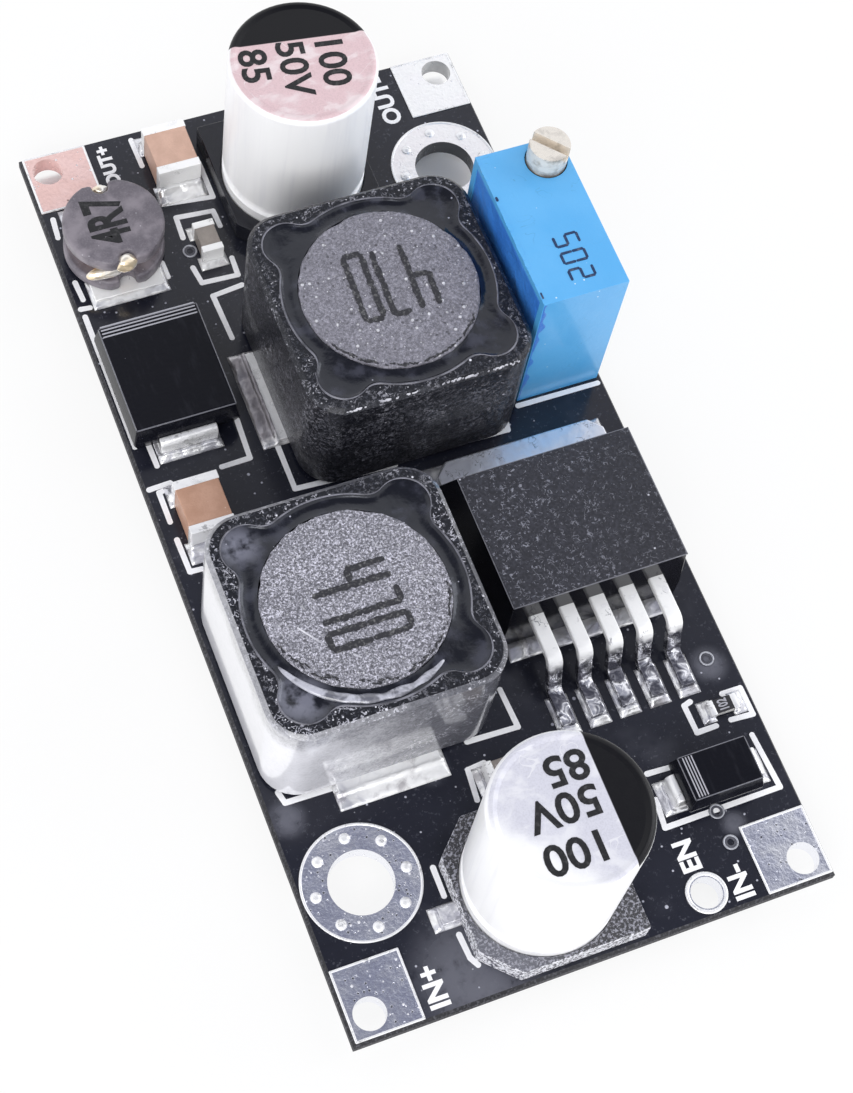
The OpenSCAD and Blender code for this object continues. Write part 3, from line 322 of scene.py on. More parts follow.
def dipped_lead(dip):
    """Controller lead: white tin above, wet with glossy solder below a height above the board in mm, the
    solder's dark tone partly a painted reflection of the board.
    """
    f = Finish("dipped lead")
    line = BOARD_TOP + dip
    wet = f.between(f.axis("Z", f.at) + f.noise(1.2, 2.0) * 0.8, line + 0.4, line - 0.3)
    smear = f.patches(0.55, 0.75, 1.3, 3.0)
    nicks = f.strokes(2.0, 0.03) * f.patches(0.6, 0.66, 1.1)
    runs = f.noise(1.5, 2.0, warp=0.6)
    # The solder's dark tone is partly a painted reflection of the dark board.
    solder = f.mix(f.between(runs, 0.46, 0.62), (0.17, 0.17, 0.20), (0.96, 0.96, 1.0))
    tone = f.layers((1.0, 1.0, 1.0), (smear * 0.5, (0.72, 0.72, 0.76)), (nicks * 0.8, (0.25, 0.25, 0.28)),
        (wet, solder))
    return f.wear(tone, 0.22 - wet * 0.1 + smear * 0.1, f.noise(1.5, 2.0) * 0.25 + runs * wet * 1.4, 0.09,
        metallic=0.1 + wet * 0.75)


def bright_solder():
    """Reflowed solder: smooth grey pools with brownish flux stains, and painted highlights: white where they
    fold and in spots.
    """
    f = Finish("bright solder")
    folds = f.noise(1.0, 2.0, 0.5, warp=0.5)
    skin = f.noise(4.0, 3.0, 0.6)
    dull = f.patches(0.54, 0.72, 0.9, 3.0) * 0.7 + f.spots(DULL_SOLDER)
    # Painted highlights: white, and less metallic, in listed spots and on the folds.
    white = f.spots(SOLDER_HIGHLIGHTS)
    tone = f.mix(white + f.between(folds, 0.4, 0.6), (0.70, 0.70, 0.75), (1.0, 1.0, 1.0))
    return f.wear(f.mix(dull, tone, (0.33, 0.31, 0.33)), 0.12 + skin * 0.2 + dull * 0.16,
        folds * 1.5 + skin * 0.2, 0.08, metallic=0.7 - f.between(white, 0.0, 0.8) * 0.5)


def drawn_aluminium(name, node, tint, moon_turn, moon_offset, top_fade=0.0):
    """Drawn can: white satin wall, and a tinted smeared top, black beyond the chord that marks its minus.
    A share of the tint fades to white along the top's near left edge: a painted highlight."""
    f = Finish(name, metallic=0.15, specular_ior_level=0.35)
    low, high = box_mm(node)
    middle, turn = (low + high) / 2, math.radians(moon_turn)
    z = f.axis("Z", f.at)
    on_top = f.between(z, high.z - 0.30, high.z - 0.14) * f.between(f.upward(), 0.7, 0.9)
    beyond = f.across((math.cos(turn), math.sin(turn)), middle) - moon_offset
    moon = f.between(beyond, -0.03, 0.03) * f.between(z, high.z - 0.28, high.z - 0.2)
    draw = f.noise(2.4, 3.0, at=f.scaled(f.at, (1.0, 1.0, 0.06)))
    grain = f.noise(11.0, 3.0, 0.6)
    smear = f.patches(0.46, 0.7, 0.55, 3.0, 0.55, at=f.scaled(f.at, (1.0, 1.6, 1.0)), warp=0.5)
    scratch = f.strokes(0.45, 0.006, 0.4) * f.patches(0.5, 0.6, 0.6)
    wall = f.mix(f.between(draw, 0.42, 0.8), (0.98, 0.98, 0.985), (0.90, 0.90, 0.92))
    # Painted highlight: the top's tint fades to white towards its near left edge.
    off = f.between(f.across(PAINTED_HIGHLIGHT_WAY, middle) + f.noise(0.8, 3.0) * 1.2, 2.0, 3.6)
    top = f.layers(tint, (f.between(grain, 0.42, 0.66) * 0.45, shade(tint, 0.8)),
        (f.between(smear + scratch, 0.0, 1.0) * 0.75, tuple(0.5 * c + 0.48 for c in tint)),
        (off * top_fade, (0.96, 0.96, 0.97)))
    tone = f.layers(wall, (on_top, top), (moon, (0.0035, 0.0035, 0.0055)))
    return f.wear(tone, 0.34 + draw * 0.12 + on_top * grain * 0.12 - moon * 0.14,
        draw * (1 - on_top) * 0.15 + grain * on_top * 0.4, 0.012)


def grainy_base():
    """Moulded foot of a can: dark with pale grain, its sides brighter by painted light, hazed grey by flux at
    one corner.
    """
    f = Finish("grainy black moulding", specular_ior_level=0.7)
    side = 1 - f.between(f.upward(), 0.5, 0.85)
    grain = f.noise(6.2, 4.0, 0.72)
    haze = f.spots(FOOT_HAZE)
    pale = f.between(grain + side * 0.05, 0.50, 0.59)
    # Painted light: the sides are given brighter colours than the top.
    dark = f.mix(haze, f.mix(side, (0.022, 0.022, 0.029), (0.12, 0.12, 0.14)), (0.13, 0.133, 0.165))
    tone = f.mix(pale, dark, f.mix(side, (0.34, 0.34, 0.40), (0.84, 0.84, 0.90)))
    return f.wear(tone, 0.26 + pale * 0.2, grain, 0.11)


def smooth_base():
    """Moulded foot of a can in plain gloss black, with a little dust."""
    f = Finish("smooth black moulding", specular_ior_level=0.4)
    dust = f.specks(1.6, 0.06, 0.3)
    flow = f.noise(1.1, 3.0)
    tone = f.mix(flow, (0.008, 0.0085, 0.013), (0.016, 0.017, 0.024))
    return f.wear(f.mix(dust, tone, (0.4, 0.4, 0.46)), 0.16 + flow * 0.14, flow + f.noise(6.0) * 0.2, 0.02)


def shield_ferrite(name, dark, pale, gloss, strewn, painted_light_x=None):
    """Sintered shield: black on top with bright chips and worms, and ground walls under a clear gloss.
    Given a range along the board's width, the walls turn from dark to pale between its two places: painted
    light and reflection."""
    f = Finish(name, specular_ior_level=0.35, specular_tint=COOL, coat_roughness=0.1, coat_ior=1.7)
    top = f.between(f.upward(), 0.6, 0.9)
    grain = f.noise(5.0, 4.0, 0.7)
    rich = f.patches(0.4, 0.62, 0.45, 2.0) * strewn
    chips = f.specks(2.1, 0.09, 0.16 * strewn) + f.specks(4.2, 0.055, 0.34) * (0.25 + 0.75 * rich)
    worms = f.strokes(2.8, 0.045, 1.5) * f.patches(0.48, 0.56, 3.4, 2.0) * (0.15 + 0.85 * rich)
    face = f.layers((0.0042, 0.0045, 0.007), (f.between(grain, 0.50, 0.70), (0.058, 0.06, 0.078)),
        (worms * 0.85, (0.46, 0.46, 0.52)), (chips, (0.84, 0.84, 0.92)))
    cloud = f.noise(0.5, 3.0, 0.5)
    share = (0.25 + 0.75 * f.between(cloud, 0.35, 0.65)) * f.patches(0.48, 0.66, 5.2, 3.0, 0.7)
    # Painted light and reflection: the walls turn pale towards one side of the board.
    if painted_light_x:
        share = f.between(f.axis("X", f.at) + (cloud - 0.5) * 5.0, *painted_light_x)
    # The walls turn darker towards their top; on the pale walls this is part of the painted light.
    top_fade = f.between(f.axis("Z", f.at) + (cloud - 0.5) * 2.0, BOARD_TOP + 6.0, BOARD_TOP + 7.6)
    bare = 1 - share * (1 - top_fade * 0.45)
    scratch = f.strokes(1.6, 0.05, 1.6) * (0.1 + 0.9 * bare)
    wall = f.layers(pale, (bare, dark), (f.between(grain, 0.40, 0.62) * bare * 0.6, shade(dark, 0.6)),
        (scratch * 0.5, shade(dark, 0.4)),
        ((chips + worms) * bare * 0.75, (0.6, 0.6, 0.66) if painted_light_x else (0.44, 0.44, 0.50)))
    rough = grain * (0.04 + bare * (0.75 - 0.55 * gloss) + top * 0.8)
    return f.wear(f.mix(top, wall, face), 0.24 + top * 0.04 + grain * 0.14,
        rough + chips * top * 0.7 - scratch * (1 - top) * 0.3, 0.055, coat_weight=(1 - top) * gloss)


def ground_core(name, dark, pale, coarse, drops, crisp):
    """Ground core: grey with dark worms and pits, more or less crisp, and pale grains of a size in mm, their
    paleness partly a painted highlight on the bumps.
    """
    f = Finish(name, specular_ior_level=0.6)
    grain = f.noise(coarse, 3.0, 0.7)
    worms = f.strokes(coarse * 0.7, 0.07, 1.6) * crisp
    grains_and_glints = f.specks(0.26 / drops, drops, 0.36) + f.specks(4.6, 0.055, 0.3)
    pits = f.specks(3.0, 0.085, 0.3)
    cloud = f.patches(0.4, 0.7, 0.4, 2.0)
    tone = f.layers(dark, (f.between(grain, 0.5 - 0.09 / crisp, 0.5 + 0.09 / crisp), pale),
        (worms * 0.8, shade(dark, 0.5)), (pits * 0.8, shade(dark, 0.4)),
        (grains_and_glints * 0.75, (0.90, 0.90, 0.97)), (cloud * 0.18, dark))
    return f.wear(tone, 0.32 + grain * 0.2,
        grain * 1.3 * crisp + grains_and_glints * 1.4 - worms * 0.7 - pits * 0.7, 0.065)


def black_glue():
    """Cured glue: gloss black, uneven where it flowed, with grey spots of painted sheen on the input coil's
    left lobes.
    """
    f = Finish("black glue", specular_ior_level=0.55, specular_tint=COOL, coat_weight=0.25, coat_ior=1.5,
        coat_roughness=0.1, coat_tint=COOL)
    flow = f.noise(0.6, 2.0, warp=0.4)
    bits = f.specks(1.5, 0.06, 0.3)
    smear = f.patches(0.5, 0.72, 0.9, 3.0)
    # Painted sheen: grey spots on the glue's left lobes.
    haze = f.spots(GLUE_SHEEN) * f.patches(0.3, 0.6, 1.6, 3.0)
    tone = f.layers((0.0030, 0.0033, 0.0055), (smear, (0.030, 0.031, 0.044)), (haze, (0.17, 0.172, 0.21)),
        (bits, (0.40, 0.40, 0.46)))
    return f.wear(tone, 0.16 + smear * 0.24, flow * 0.8 + f.noise(2.4, 3.0, 0.6) * 0.28, 0.09)


def controller_epoxy():
    """Moulded epoxy: dark grey face strewn with short pale dashes of filler, and polished sides."""
    f = Finish("controller epoxy", specular_ior_level=0.4)
    top = f.between(f.upward(), 0.75, 0.95)
    dashes = f.strokes(2.3, 0.035, 1.1) * f.patches(0.55, 0.60, 3.1, 1.0)
    dashes = dashes + f.strokes(3.3, 0.03, 1.3) * f.patches(0.56, 0.61, 4.1, 1.0)
    grain = f.noise(7.0, 3.0, 0.65)
    dust = f.specks(1.0, 0.07, 0.25)
    fade_from, fade_to = CONTROLLER_FADE
    # The face turns darker, with fewer pale dashes, across the board's width.
    drift = f.between(f.axis("X", f.at) + f.noise(0.3, 2.0) * 6.0, fade_to, fade_from)
    face = f.layers((0.021, 0.0215, 0.029), (f.between(grain, 0.38, 0.7), (0.050, 0.051, 0.067)),
        ((1 - drift) * 0.4, (0.013, 0.0135, 0.019)), (dashes * (0.35 + 0.65 * drift), (0.29, 0.295, 0.35)))
    tone = f.layers((0.006, 0.006, 0.009), (top, face), (dust, (0.6, 0.6, 0.68)))
    return f.wear(tone, 0.13 + top * (0.24 + grain * 0.16), grain * top * 0.7 + dashes * top * 0.9, 0.024)


def diode_epoxy():
    """Polished moulded epoxy with faint scratches and dust."""
    f = Finish("diode epoxy", specular_ior_level=0.14)
    dust = f.specks(1.6, 0.05, 0.2)
    rub = f.patches(0.5, 0.75, 3.0, 3.0, at=f.scaled(f.at, (1.0, 0.25, 1.0)))
    tone = f.mix(rub, (0.0062, 0.0066, 0.0105), (0.012, 0.0125, 0.018))
    return f.wear(f.mix(dust, tone, (0.30, 0.30, 0.36)), 0.15 + rub * 0.12 + dust * 0.3, f.noise(5.0, 3.0),
        0.006)


def moulded_blue(name, light, dark, depth):
    """Bright blue moulding: soft flow marks, dust and small scratches."""
    f = Finish(name, specular_ior_level=0.5, coat_weight=0.35, coat_roughness=0.1)
    flow = f.patches(0.35, 0.7, 0.3, 3.0)
    dust = f.specks(1.7, 0.055, 0.25)
    marks = f.strokes(0.9, 0.012) * f.patches(0.56, 0.64, 0.5)
    tone = f.mix(dust * 0.8, f.mix(flow, light, dark), (0.75, 0.88, 0.98))
    return f.wear(f.mix(marks * 0.4, tone, shade(dark, 0.6)), 0.28 + f.noise(6.0, 3.0) * 0.16,
        f.noise(7.0, 3.0) + f.noise(0.9, 2.0) * 3, depth)


def turned_metal(name, colour, rough, seat_z):
    """Turned metal: bright face, satin sides with rings of the tool, tarnish, and dark brown up to a height
    above its seat. The darker sides and the dark brown are painted shade and reflection.
    """
    f = Finish(name)
    side = 1 - f.between(f.upward(), 0.5, 0.8)
    tarnish = f.patches(0.45, 0.75, 1.8, 3.0)
    tool = f.noise(11.0, 2.0, at=f.scaled(f.at, (0.2, 0.2, 1.0)))
    # Painted shade and reflection: dark brown up to a height above the seat, also rougher.
    shank_shade = f.between(f.axis("Z", f.at) + f.noise(2.2, 3.0) * 0.8, seat_z + 0.85, seat_z + 0.4)
    tone = f.mix(tarnish, colour, shade(colour, 0.78))
    # The sides' darker colour is a painted shade; their rings and roughness are the tool's.
    satin = f.mix(tarnish, tuple(c ** 1.6 for c in colour), tuple(0.55 * c ** 2.4 for c in colour))
    tone = f.mix(side, tone, satin)
    return f.wear(f.mix(shank_shade * 0.85, tone, (0.15, 0.11, 0.085)),
        rough + tarnish * 0.12 + tool * 0.08 + shank_shade * 0.22, tool * 0.6 + f.noise(6.0) * 0.5, 0.012,
        metallic=1 - side * 0.72)


def fired(name, colour, second, rough, spots=(0.85, 0.83, 0.80)):
    """Fired or moulded body: tone drifts, fine grain and a few pale spots."""
    f = Finish(name, specular_ior_level=0.5)
    drift = f.patches(0.35, 0.7, 1.1, 3.0)
    grain = f.noise(10.0, 3.0, 0.6)
    specks = f.specks(2.8, 0.045, 0.3)
    tone = f.mix(f.between(grain, 0.45, 0.7) * 0.4, f.mix(drift, colour, second), second)
    return f.wear(f.mix(specks * 0.6, tone, spots), rough + grain * 0.15, grain, 0.015)


def wound_copper():
    """Enamelled wire: orange copper under clear lacquer."""
    f = Finish("enamelled copper", metallic=1.0, coat_weight=0.6, coat_roughness=0.1)
    tone = f.mix(f.patches(0.4, 0.7, 1.5, 2.0), (0.90, 0.56, 0.30), (0.72, 0.38, 0.18))
    return f.wear(tone, 0.22 + f.noise(6.0) * 0.15, f.noise(5.0), 0.01)


def wet_glue():
    """Thick glue under a clear gloss: a grey ground with pale streaks, a painted highlight on black glue."""
    f = Finish("wet glue", coat_weight=1.0, coat_roughness=0.05, coat_ior=1.6)
    highlight_streak = f.patches(0.36, 0.58, 1.1, 3.0, 0.6, warp=0.5)
    return f.wear(f.mix(highlight_streak, (0.13, 0.132, 0.16), (0.50, 0.505, 0.58)), 0.14 + highlight_streak * 0.1,
        f.noise(1.8, 2.0) + highlight_streak * 0.4, 0.06)


def clear_amber():
    """Clear amber glue: wet gold, near white in noise patches, partly a painted highlight, and deeper gold in
    others.
    """
    f = Finish("amber glue", metallic=0.55, coat_weight=1.0, coat_roughness=0.04)
    thick = f.patches(0.35, 0.65, 1.3, 2.0)
    tone = f.mix(thick, (1.0, 0.98, 0.93), (0.98, 0.80, 0.54))
    return f.wear(tone, 0.08 + thick * 0.1, f.noise(1.6, 2.0), 0.07)


def ink(name, colour, rough, patchy, grain=4.0):
    """Screened or stamped ink, thin in places."""
    f = Finish(name, specular_ior_level=0.4)
    thin = f.patches(0.5, 0.72, grain, 3.0, 0.6) * patchy
    paler = tuple(c + (0.4 - c) * 0.45 for c in colour)
    return f.wear(f.mix(thin, colour, paler), rough + f.noise(8.0) * 0.12, f.noise(9.0, 2.0), 0.008)


finishes = {
    "black_solder_mask": black_mask(),
    "tinned_copper": levelled_tin("levelled tin", (0.80, 0.82, 0.94), (0.94, 0.95, 1.0)),
    "solder": bright_solder(),
    "can_aluminium": drawn_aluminium("drawn aluminium", "input_capacitor_can", (0.66, 0.66, 0.74), 0, 1.9, 0.9),
    "can_base_plastic": grainy_base(),
    "copper_wire": wound_copper(),
    "black_glue": black_glue(),
    "shield_ferrite": shield_ferrite("shield ferrite", (0.008, 0.0085, 0.0125), (0.125, 0.127, 0.152),
        0.18, 0.6),
    "core_ferrite": ground_core("ground core ferrite", (0.165, 0.162, 0.195), (0.36, 0.352, 0.42),
        6.5, 0.125, 0.5),
    "drum_ferrite": fired("drum ferrite", (0.135, 0.122, 0.145), (0.26, 0.235, 0.265), 0.3, (0.6, 0.58, 0.62)),
    "tab_metal": plated_lead("plated tab", (0.84, 0.86, 0.93), 0.26, 0.85),
    "controller_epoxy": controller_epoxy(),
    "diode_epoxy": diode_epoxy(),
    "trimmer_blue": moulded_blue("trimmer blue", (0.106, 0.435, 0.83), (0.085, 0.405, 0.80), 0.01),
    # The potting's darker blue is partly its own colour and partly a painted shade of the trimmer's side next
    # to the coil.
    "trimmer_potting": moulded_blue("trimmer potting", (0.052, 0.24, 0.73), (0.036, 0.185, 0.65), 0.035),
    "brass": turned_metal("turned brass", (0.88, 0.83, 0.76), 0.12, top_of("trimmer_case")),
    "seal_rubber": fired("seal rubber", (0.02, 0.02, 0.02), (0.03, 0.03, 0.03), 0.6),
    "wheel_nylon": fired("wheel nylon", (0.80, 0.76, 0.66), (0.72, 0.68, 0.58), 0.4),
    "white_ceramic": fired("white ceramic", (0.84, 0.83, 0.81), (0.76, 0.75, 0.74), 0.4),
    "resistor_coat": fired("resistor glaze", (0.018, 0.018, 0.021), (0.03, 0.03, 0.034), 0.22),
    "tan_ceramic": fired("tan ceramic", (0.70, 0.46, 0.36), (0.61, 0.39, 0.30), 0.3, (0.9, 0.78, 0.7)),
    "grey_ceramic": fired("grey ceramic", (0.34, 0.30, 0.27), (0.26, 0.23, 0.21), 0.3),
    "tinned_leads": plated_lead("tinned lead", (0.99, 0.99, 1.0), 0.2),
}
# The input coil's shield, its walls pale with painted light and reflection towards the board's left edge.
shield_with_painted_light = shield_ferrite("pale-walled shield ferrite", (0.15, 0.152, 0.178), (0.80, 0.80, 0.845), 1.0, 1.7,
    (-2.2, -13.0))
# The input coil's core: a paler copy of the core ferrite, painted light.
core_with_painted_light = ground_core("pale core ferrite", (0.20, 0.20, 0.24), (0.78, 0.77, 0.89), 8.2, 0.07, 1.0)
warm_can = drawn_aluminium("drawn aluminium, warm top", "output_capacitor_can", (0.74, 0.55, 0.575), 82.4, 1.42)
warm_tin = levelled_tin("warm levelled tin", (0.88, 0.60, 0.56), (0.95, 0.68, 0.65), 0.5)
tented_via = fired("tented via", (0.05, 0.051, 0.065), (0.11, 0.112, 0.135), 0.2, (0.6, 0.6, 0.65))
# The coupling capacitor's ceramic: darker than the bypass capacitor's, partly its own colour and partly a
# painted shadow of the input coil.
brown_ceramic_and_shade = fired("brown ceramic", (0.56, 0.33, 0.235), (0.47, 0.265, 0.18), 0.3, (0.8, 0.66, 0.56))
amber_glue = clear_amber()
glue_with_painted_highlight = wet_glue()
white_plate = plated_lead("white plate", (1.0, 1.0, 1.0), 0.2, 0.12)
white_lead = dipped_lead(2.45)
# White copies of the levelled tin for the OUT end's ring and pad: a painted highlight, their bores darkened by
# a painted shade.
ring_tin_with_painted_highlight = levelled_tin("white levelled tin", (0.97, 0.94, 0.955), (1.0, 0.99, 1.0), 0.45, 0.12)
pad_tin_with_painted_highlight = levelled_tin("white pad tin", (0.98, 0.97, 0.985), (1.0, 1.0, 1.0), 0.4, 0.6)
smooth_foot = smooth_base()
# Pale grey for the moulded bodies' edges: a painted highlight.
edge_highlight = ink("worn edge", (0.17, 0.172, 0.20), 0.3, 0.8)
via_tin = plated_lead("via tin", (0.50, 0.51, 0.56), 0.25, 0.5)
ferrite_chip = fired("ferrite chips", (0.72, 0.72, 0.78), (0.40, 0.40, 0.45), 0.3, (0.95, 0.95, 1.0))
# The glue's lip: grey over black glue, a painted highlight along the shield's edge.
glue_lip_highlight = fired("glue lip", (0.22, 0.22, 0.26), (0.06, 0.061, 0.075), 0.2, (0.8, 0.8, 0.86))
white_legend = ink("white legend", (0.98, 0.98, 1.0), 0.4, 0.2)
black_print = ink("black print", (0.012, 0.012, 0.014), 0.35, 0.2)
core_print = ink("dark core print", (0.024, 0.024, 0.03), 0.45, 0.8, 8.0)
blue_print = ink("dark blue print", (0.01, 0.035, 0.11), 0.35, 0.4)
grey_print = ink("grey print", (0.42, 0.42, 0.47), 0.45, 0.5)

for name, part in nodes.items():
    part.data.materials.clear()
    part.data.materials.append(finishes[slots[name]].material)


# Making pieces: the greatest angle of a flat face and the least of a sharp edge, in degrees, and how far in and
# down a crumbled rim goes, in mm
FLAT_ANGLE, SHARP_ANGLE = 0.6, 34
RIM_IN, RIM_DOWN = 0.3, 0.4


def piece(bm, name, finish, stands_for=(), smooth=38, body="module"):
    """Turns a bmesh into a piece that rides on a body."""
    made = meshed(bm, name, finish)
    made.data.polygons.foreach_set("use_smooth", [True] * len(made.data.polygons))
    made.data.set_sharp_from_angle(angle=math.radians(smooth))
    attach(made, body)
    if stands_for:
        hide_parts(*stands_for)
    return made


def merged(node):
    bm = bmesh.new()
    bm.from_mesh(nodes[node].data)
    bmesh.ops.remove_doubles(bm, verts=bm.verts, dist=1e-6)
    return bm


def solid_of(node):
    """A merged copy of a CAD node with its flat faces whole."""
    bm = merged(node)
    bmesh.ops.dissolve_limit(bm, angle_limit=math.radians(FLAT_ANGLE), verts=bm.verts, edges=bm.edges)
    return bm


def softened(node, width, finish, crumble):
    """Stands for a CAD node with its sharp edges rounded, and its top rim crumbled by up to a depth in mm."""
    bm = solid_of(node)
    sharp = [e for e in bm.edges if len(e.link_faces) == 2 and e.calc_face_angle() > math.radians(SHARP_ANGLE)]
    bmesh.ops.bevel(bm, geom=sharp, offset=width * MM, offset_type="OFFSET", segments=3, profile=0.5,
        affect="EDGES", clamp_overlap=True, material=-1)
    if crumble:
        low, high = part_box(node)
        middle, rim = (low + high) / 2, (high.x - low.x) / 2 - RIM_IN * MM
        for v in bm.verts:
            out = (v.co - middle).xy
            if v.co.z > high.z - RIM_DOWN * MM and out.length > rim:
                bite = abs(noise.noise(v.co / MM * 3.1)) * crumble * MM
                v.co.xy = middle.xy + out * (1 - bite / out.length)
                v.co.z -= bite * 0.4
    made = piece(bm, node + "_soft", finish, [node], body=nodes[node]["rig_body"])
    made.modifiers.new("weighted normals", "WEIGHTED_NORMAL").keep_sharp = True


CONTROLLER_LEADS = ["controller_lead_%d" % i for i in range(1, 6)]
ROUNDED = {
    "input_capacitor_base": 0.10, "output_capacitor_base": 0.10,
    "input_capacitor_leads": 0.06, "output_capacitor_leads": 0.06,
    "input_coil_shield": 0.10, "output_coil_shield": 0.10,
    "input_coil_core": 0.10, "output_coil_core": 0.10,
    "input_coil_terminals": 0.08, "output_coil_terminals": 0.08,
    "controller_body": 0.07, "controller_tab": 0.10,
    **dict.fromkeys(CONTROLLER_LEADS, 0.09),
    "trimmer_case": 0.14, "trimmer_screw": 0.07,
    "rectifier_body": 0.09, "rectifier_cathode_lead": 0.06, "rectifier_anode_lead": 0.06,
    "input_diode_body": 0.07, "input_diode_cathode_lead": 0.05, "input_diode_anode_lead": 0.05,
    "filter_coil_core": 0.20, "filter_coil_terminals": 0.07,
    "bypass_capacitor_body": 0.06, "bypass_capacitor_ends": 0.16,
    "coupling_capacitor_body": 0.06, "coupling_capacitor_ends": 0.16,
    "chip_capacitor_bodies": 0.04, "chip_capacitor_ends": 0.10,
    "enable_resistor_body": 0.03, "enable_resistor_ends": 0.05,
}
CRUMBLED = {"input_coil_core": 0.15, "output_coil_core": 0.15}
OWN_FINISH = {
    "input_coil_shield": shield_with_painted_light, "input_coil_core": core_with_painted_light,
    "coupling_capacitor_body": brown_ceramic_and_shade, "output_capacitor_base": smooth_foot,
    **dict.fromkeys(["filter_coil_terminals", "bypass_capacitor_ends", "chip_capacitor_ends"], white_plate),
    **dict.fromkeys(["input_capacitor_leads", "input_coil_terminals"], finishes["solder"]),
    **dict.fromkeys(CONTROLLER_LEADS, white_lead),
}
for name, width in ROUNDED.items():
    softened(name, width, OWN_FINISH.get(name, finishes[slots[name]]), CRUMBLED.get(name, 0.0))
REFINISHED = {"output_capacitor_can": warm_can, "out_positive_pad": warm_tin, "out_negative_pad": pad_tin_with_painted_highlight,
    "out_mount_ring": ring_tin_with_painted_highlight, "vias": tented_via}
for name, finish in REFINISHED.items():
    nodes[name].data.materials[0] = finish.material


def faces_of(verts):
    return list(dict.fromkeys(f for v in verts for f in v.link_faces))


def outward(bm, verts):
    bmesh.ops.recalc_face_normals(bm, faces=faces_of(verts))


def doubled(bm, verts):
    """Extrudes the faces between some points, and gives the new points."""
    made = bmesh.ops.extrude_face_region(bm, geom=faces_of(verts))["geom"]
    return [v for v in made if isinstance(v, bmesh.types.BMVert)]


def put(bm, verts, place, scale=(1, 1, 1), turn=Matrix()):
    """Turns points, scales them and puts them at a place in mm."""
    matrix = Matrix.Translation(Vector(place) * MM) @ Matrix.Diagonal((*scale, 1)) @ turn
    bmesh.ops.transform(bm, matrix=matrix, verts=verts)


def sides(low, high, z):
    """The four sides of a rectangle at a height, each as its two ends."""
    corners = [Vector((x, y, z)) for x, y in
        ((low.x, low.y), (high.x, low.y), (high.x, high.y), (low.x, high.y))]
    return zip(corners, corners[1:] + corners[:1])


def bar(bm, start, end, width, low, high):
    """A round-ended bar from start to end, both in mm."""
    start, end = Vector(start), Vector(end)
    made = bmesh.ops.create_circle(bm, cap_ends=True, radius=width / 2 * MM, segments=16)["verts"]
    run = end - start
    far = [v for v in made if v.co.x > 0]
    bmesh.ops.translate(bm, verts=far, vec=(run.length * MM, 0, 0))
    raised = doubled(bm, made)
    bmesh.ops.translate(bm, verts=raised, vec=(0, 0, (high - low) * MM))
    put(bm, made + raised, (start.x, start.y, low), turn=Matrix.Rotation(math.atan2(run.y, run.x), 4, "Z"))
    outward(bm, made + raised)


LETTER_SIZE = 1.45


def letters(bm, text, height, place, turn, low, high, stretch=1.0, weight=0.0):
    """Words in the plain built-in letter, centred at place and turned by degrees."""
    curve = bpy.data.curves.new("letters", "FONT")
    curve.body, curve.align_x, curve.align_y = text, "CENTER", "CENTER"
    curve.size = height * MM * LETTER_SIZE
    curve.extrude = (high - low) / 2 * MM
    curve.offset = weight * MM
    curve.resolution_u = 4
    holder = placed("letters", curve)
    shape = bpy.data.meshes.new_from_object(holder.evaluated_get(bpy.context.evaluated_depsgraph_get()))
    where = Matrix.Translation(Vector((*place, (low + high) / 2)) * MM)
    shape.transform(where @ Matrix.Rotation(math.radians(turn), 4, "Z") @ Matrix.Diagonal((stretch, 1, 1, 1)))
    bm.from_mesh(shape)
    bpy.data.objects.remove(holder)
    bpy.data.curves.remove(curve)
    bpy.data.meshes.remove(shape)


# Legend on the board: outlines of the parts and names of the wire pads, in mm. Each next line of an outline is
# a little higher, so that no two tops meet in one plane
LEGEND_T, LEGEND_W, LIFT = 0.018, 0.31, 0.003
NAME_TURN, NAME_STRETCH, NAME_WEIGHT = 90, 0.98, 0.05
OUTLINES = [
    [(-3.88, 15.22), (-5.65, 15.03), (-5.54, 12.18)], [(3.14, 2.21), (6.81, 2.11), (6.92, 2.66)],
    [(-5.45, 5.03), (-5.45, 2.37), (0.16, 2.04)],
    [(-12.13, -13.43), (-11.98, -14.05), (-9.06, -14.11)], [(-2.09, -14.02), (0.71, -14.12), (0.61, -11.92)],
    [(-12.72, 15.87), (-12.7, 7.4)], [(-6.99, 7.27), (-7.1, 4.87), (-8.7, 4.83)],
    [(-11.98, 7.37), (-11.95, 5.96)], [(-12.8, 16.4), (-12.29, 16.35)], [(-12.8, 4.73), (-11.62, 4.79)],
    [(-11.72, 4.51), (-12.36, 4.41), (-12.36, 2.6)], [(-12.36, 1.49), (-12.32, -0.47), (-11.67, -0.51)],
    [(-6.67, 26.2), (-6.63, 24.36)], [(-6.51, 21.57), (-3.5, 21.2), (-3.5, 23.61)],
    [(-5.99, 19.11), (-5.93, 20.49), (-3.81, 20.31), (-3.76, 19.25)],
    [(-6.1, 17.09), (-5.95, 16.01), (-3.88, 15.9), (-3.83, 17.05)],
    [(-12.47, 22.4), (-12.57, 21.18)], [(-7.63, 17.91), (-7.6, 16.95)], [(-12.57, 18.12), (-12.49, 16.95)],
    [(-6.2, -19.68), (-6.21, -21.21)], [(-6.24, -23.31), (-6.16, -24.57), (-5.92, -25.03)],
    [(-1.69, -15.37), (-2.61, -15.45), (-2.77, -17.1)],
    [(6.04, -18.69), (7.21, -18.75)], [(5.91, -20.13), (5.74, -21.66), (12.32, -21.62), (12.14, -18.54)],
    [(9.8, -15.78), (9.41, -15.89), (9.44, -17.48), (10.55, -17.46)],
    [(11.59, -15.93), (12.65, -15.93), (12.68, -17.49), (11.44, -17.41)],
    [(7.91, 3.33), (12.7, 3.29)],
]
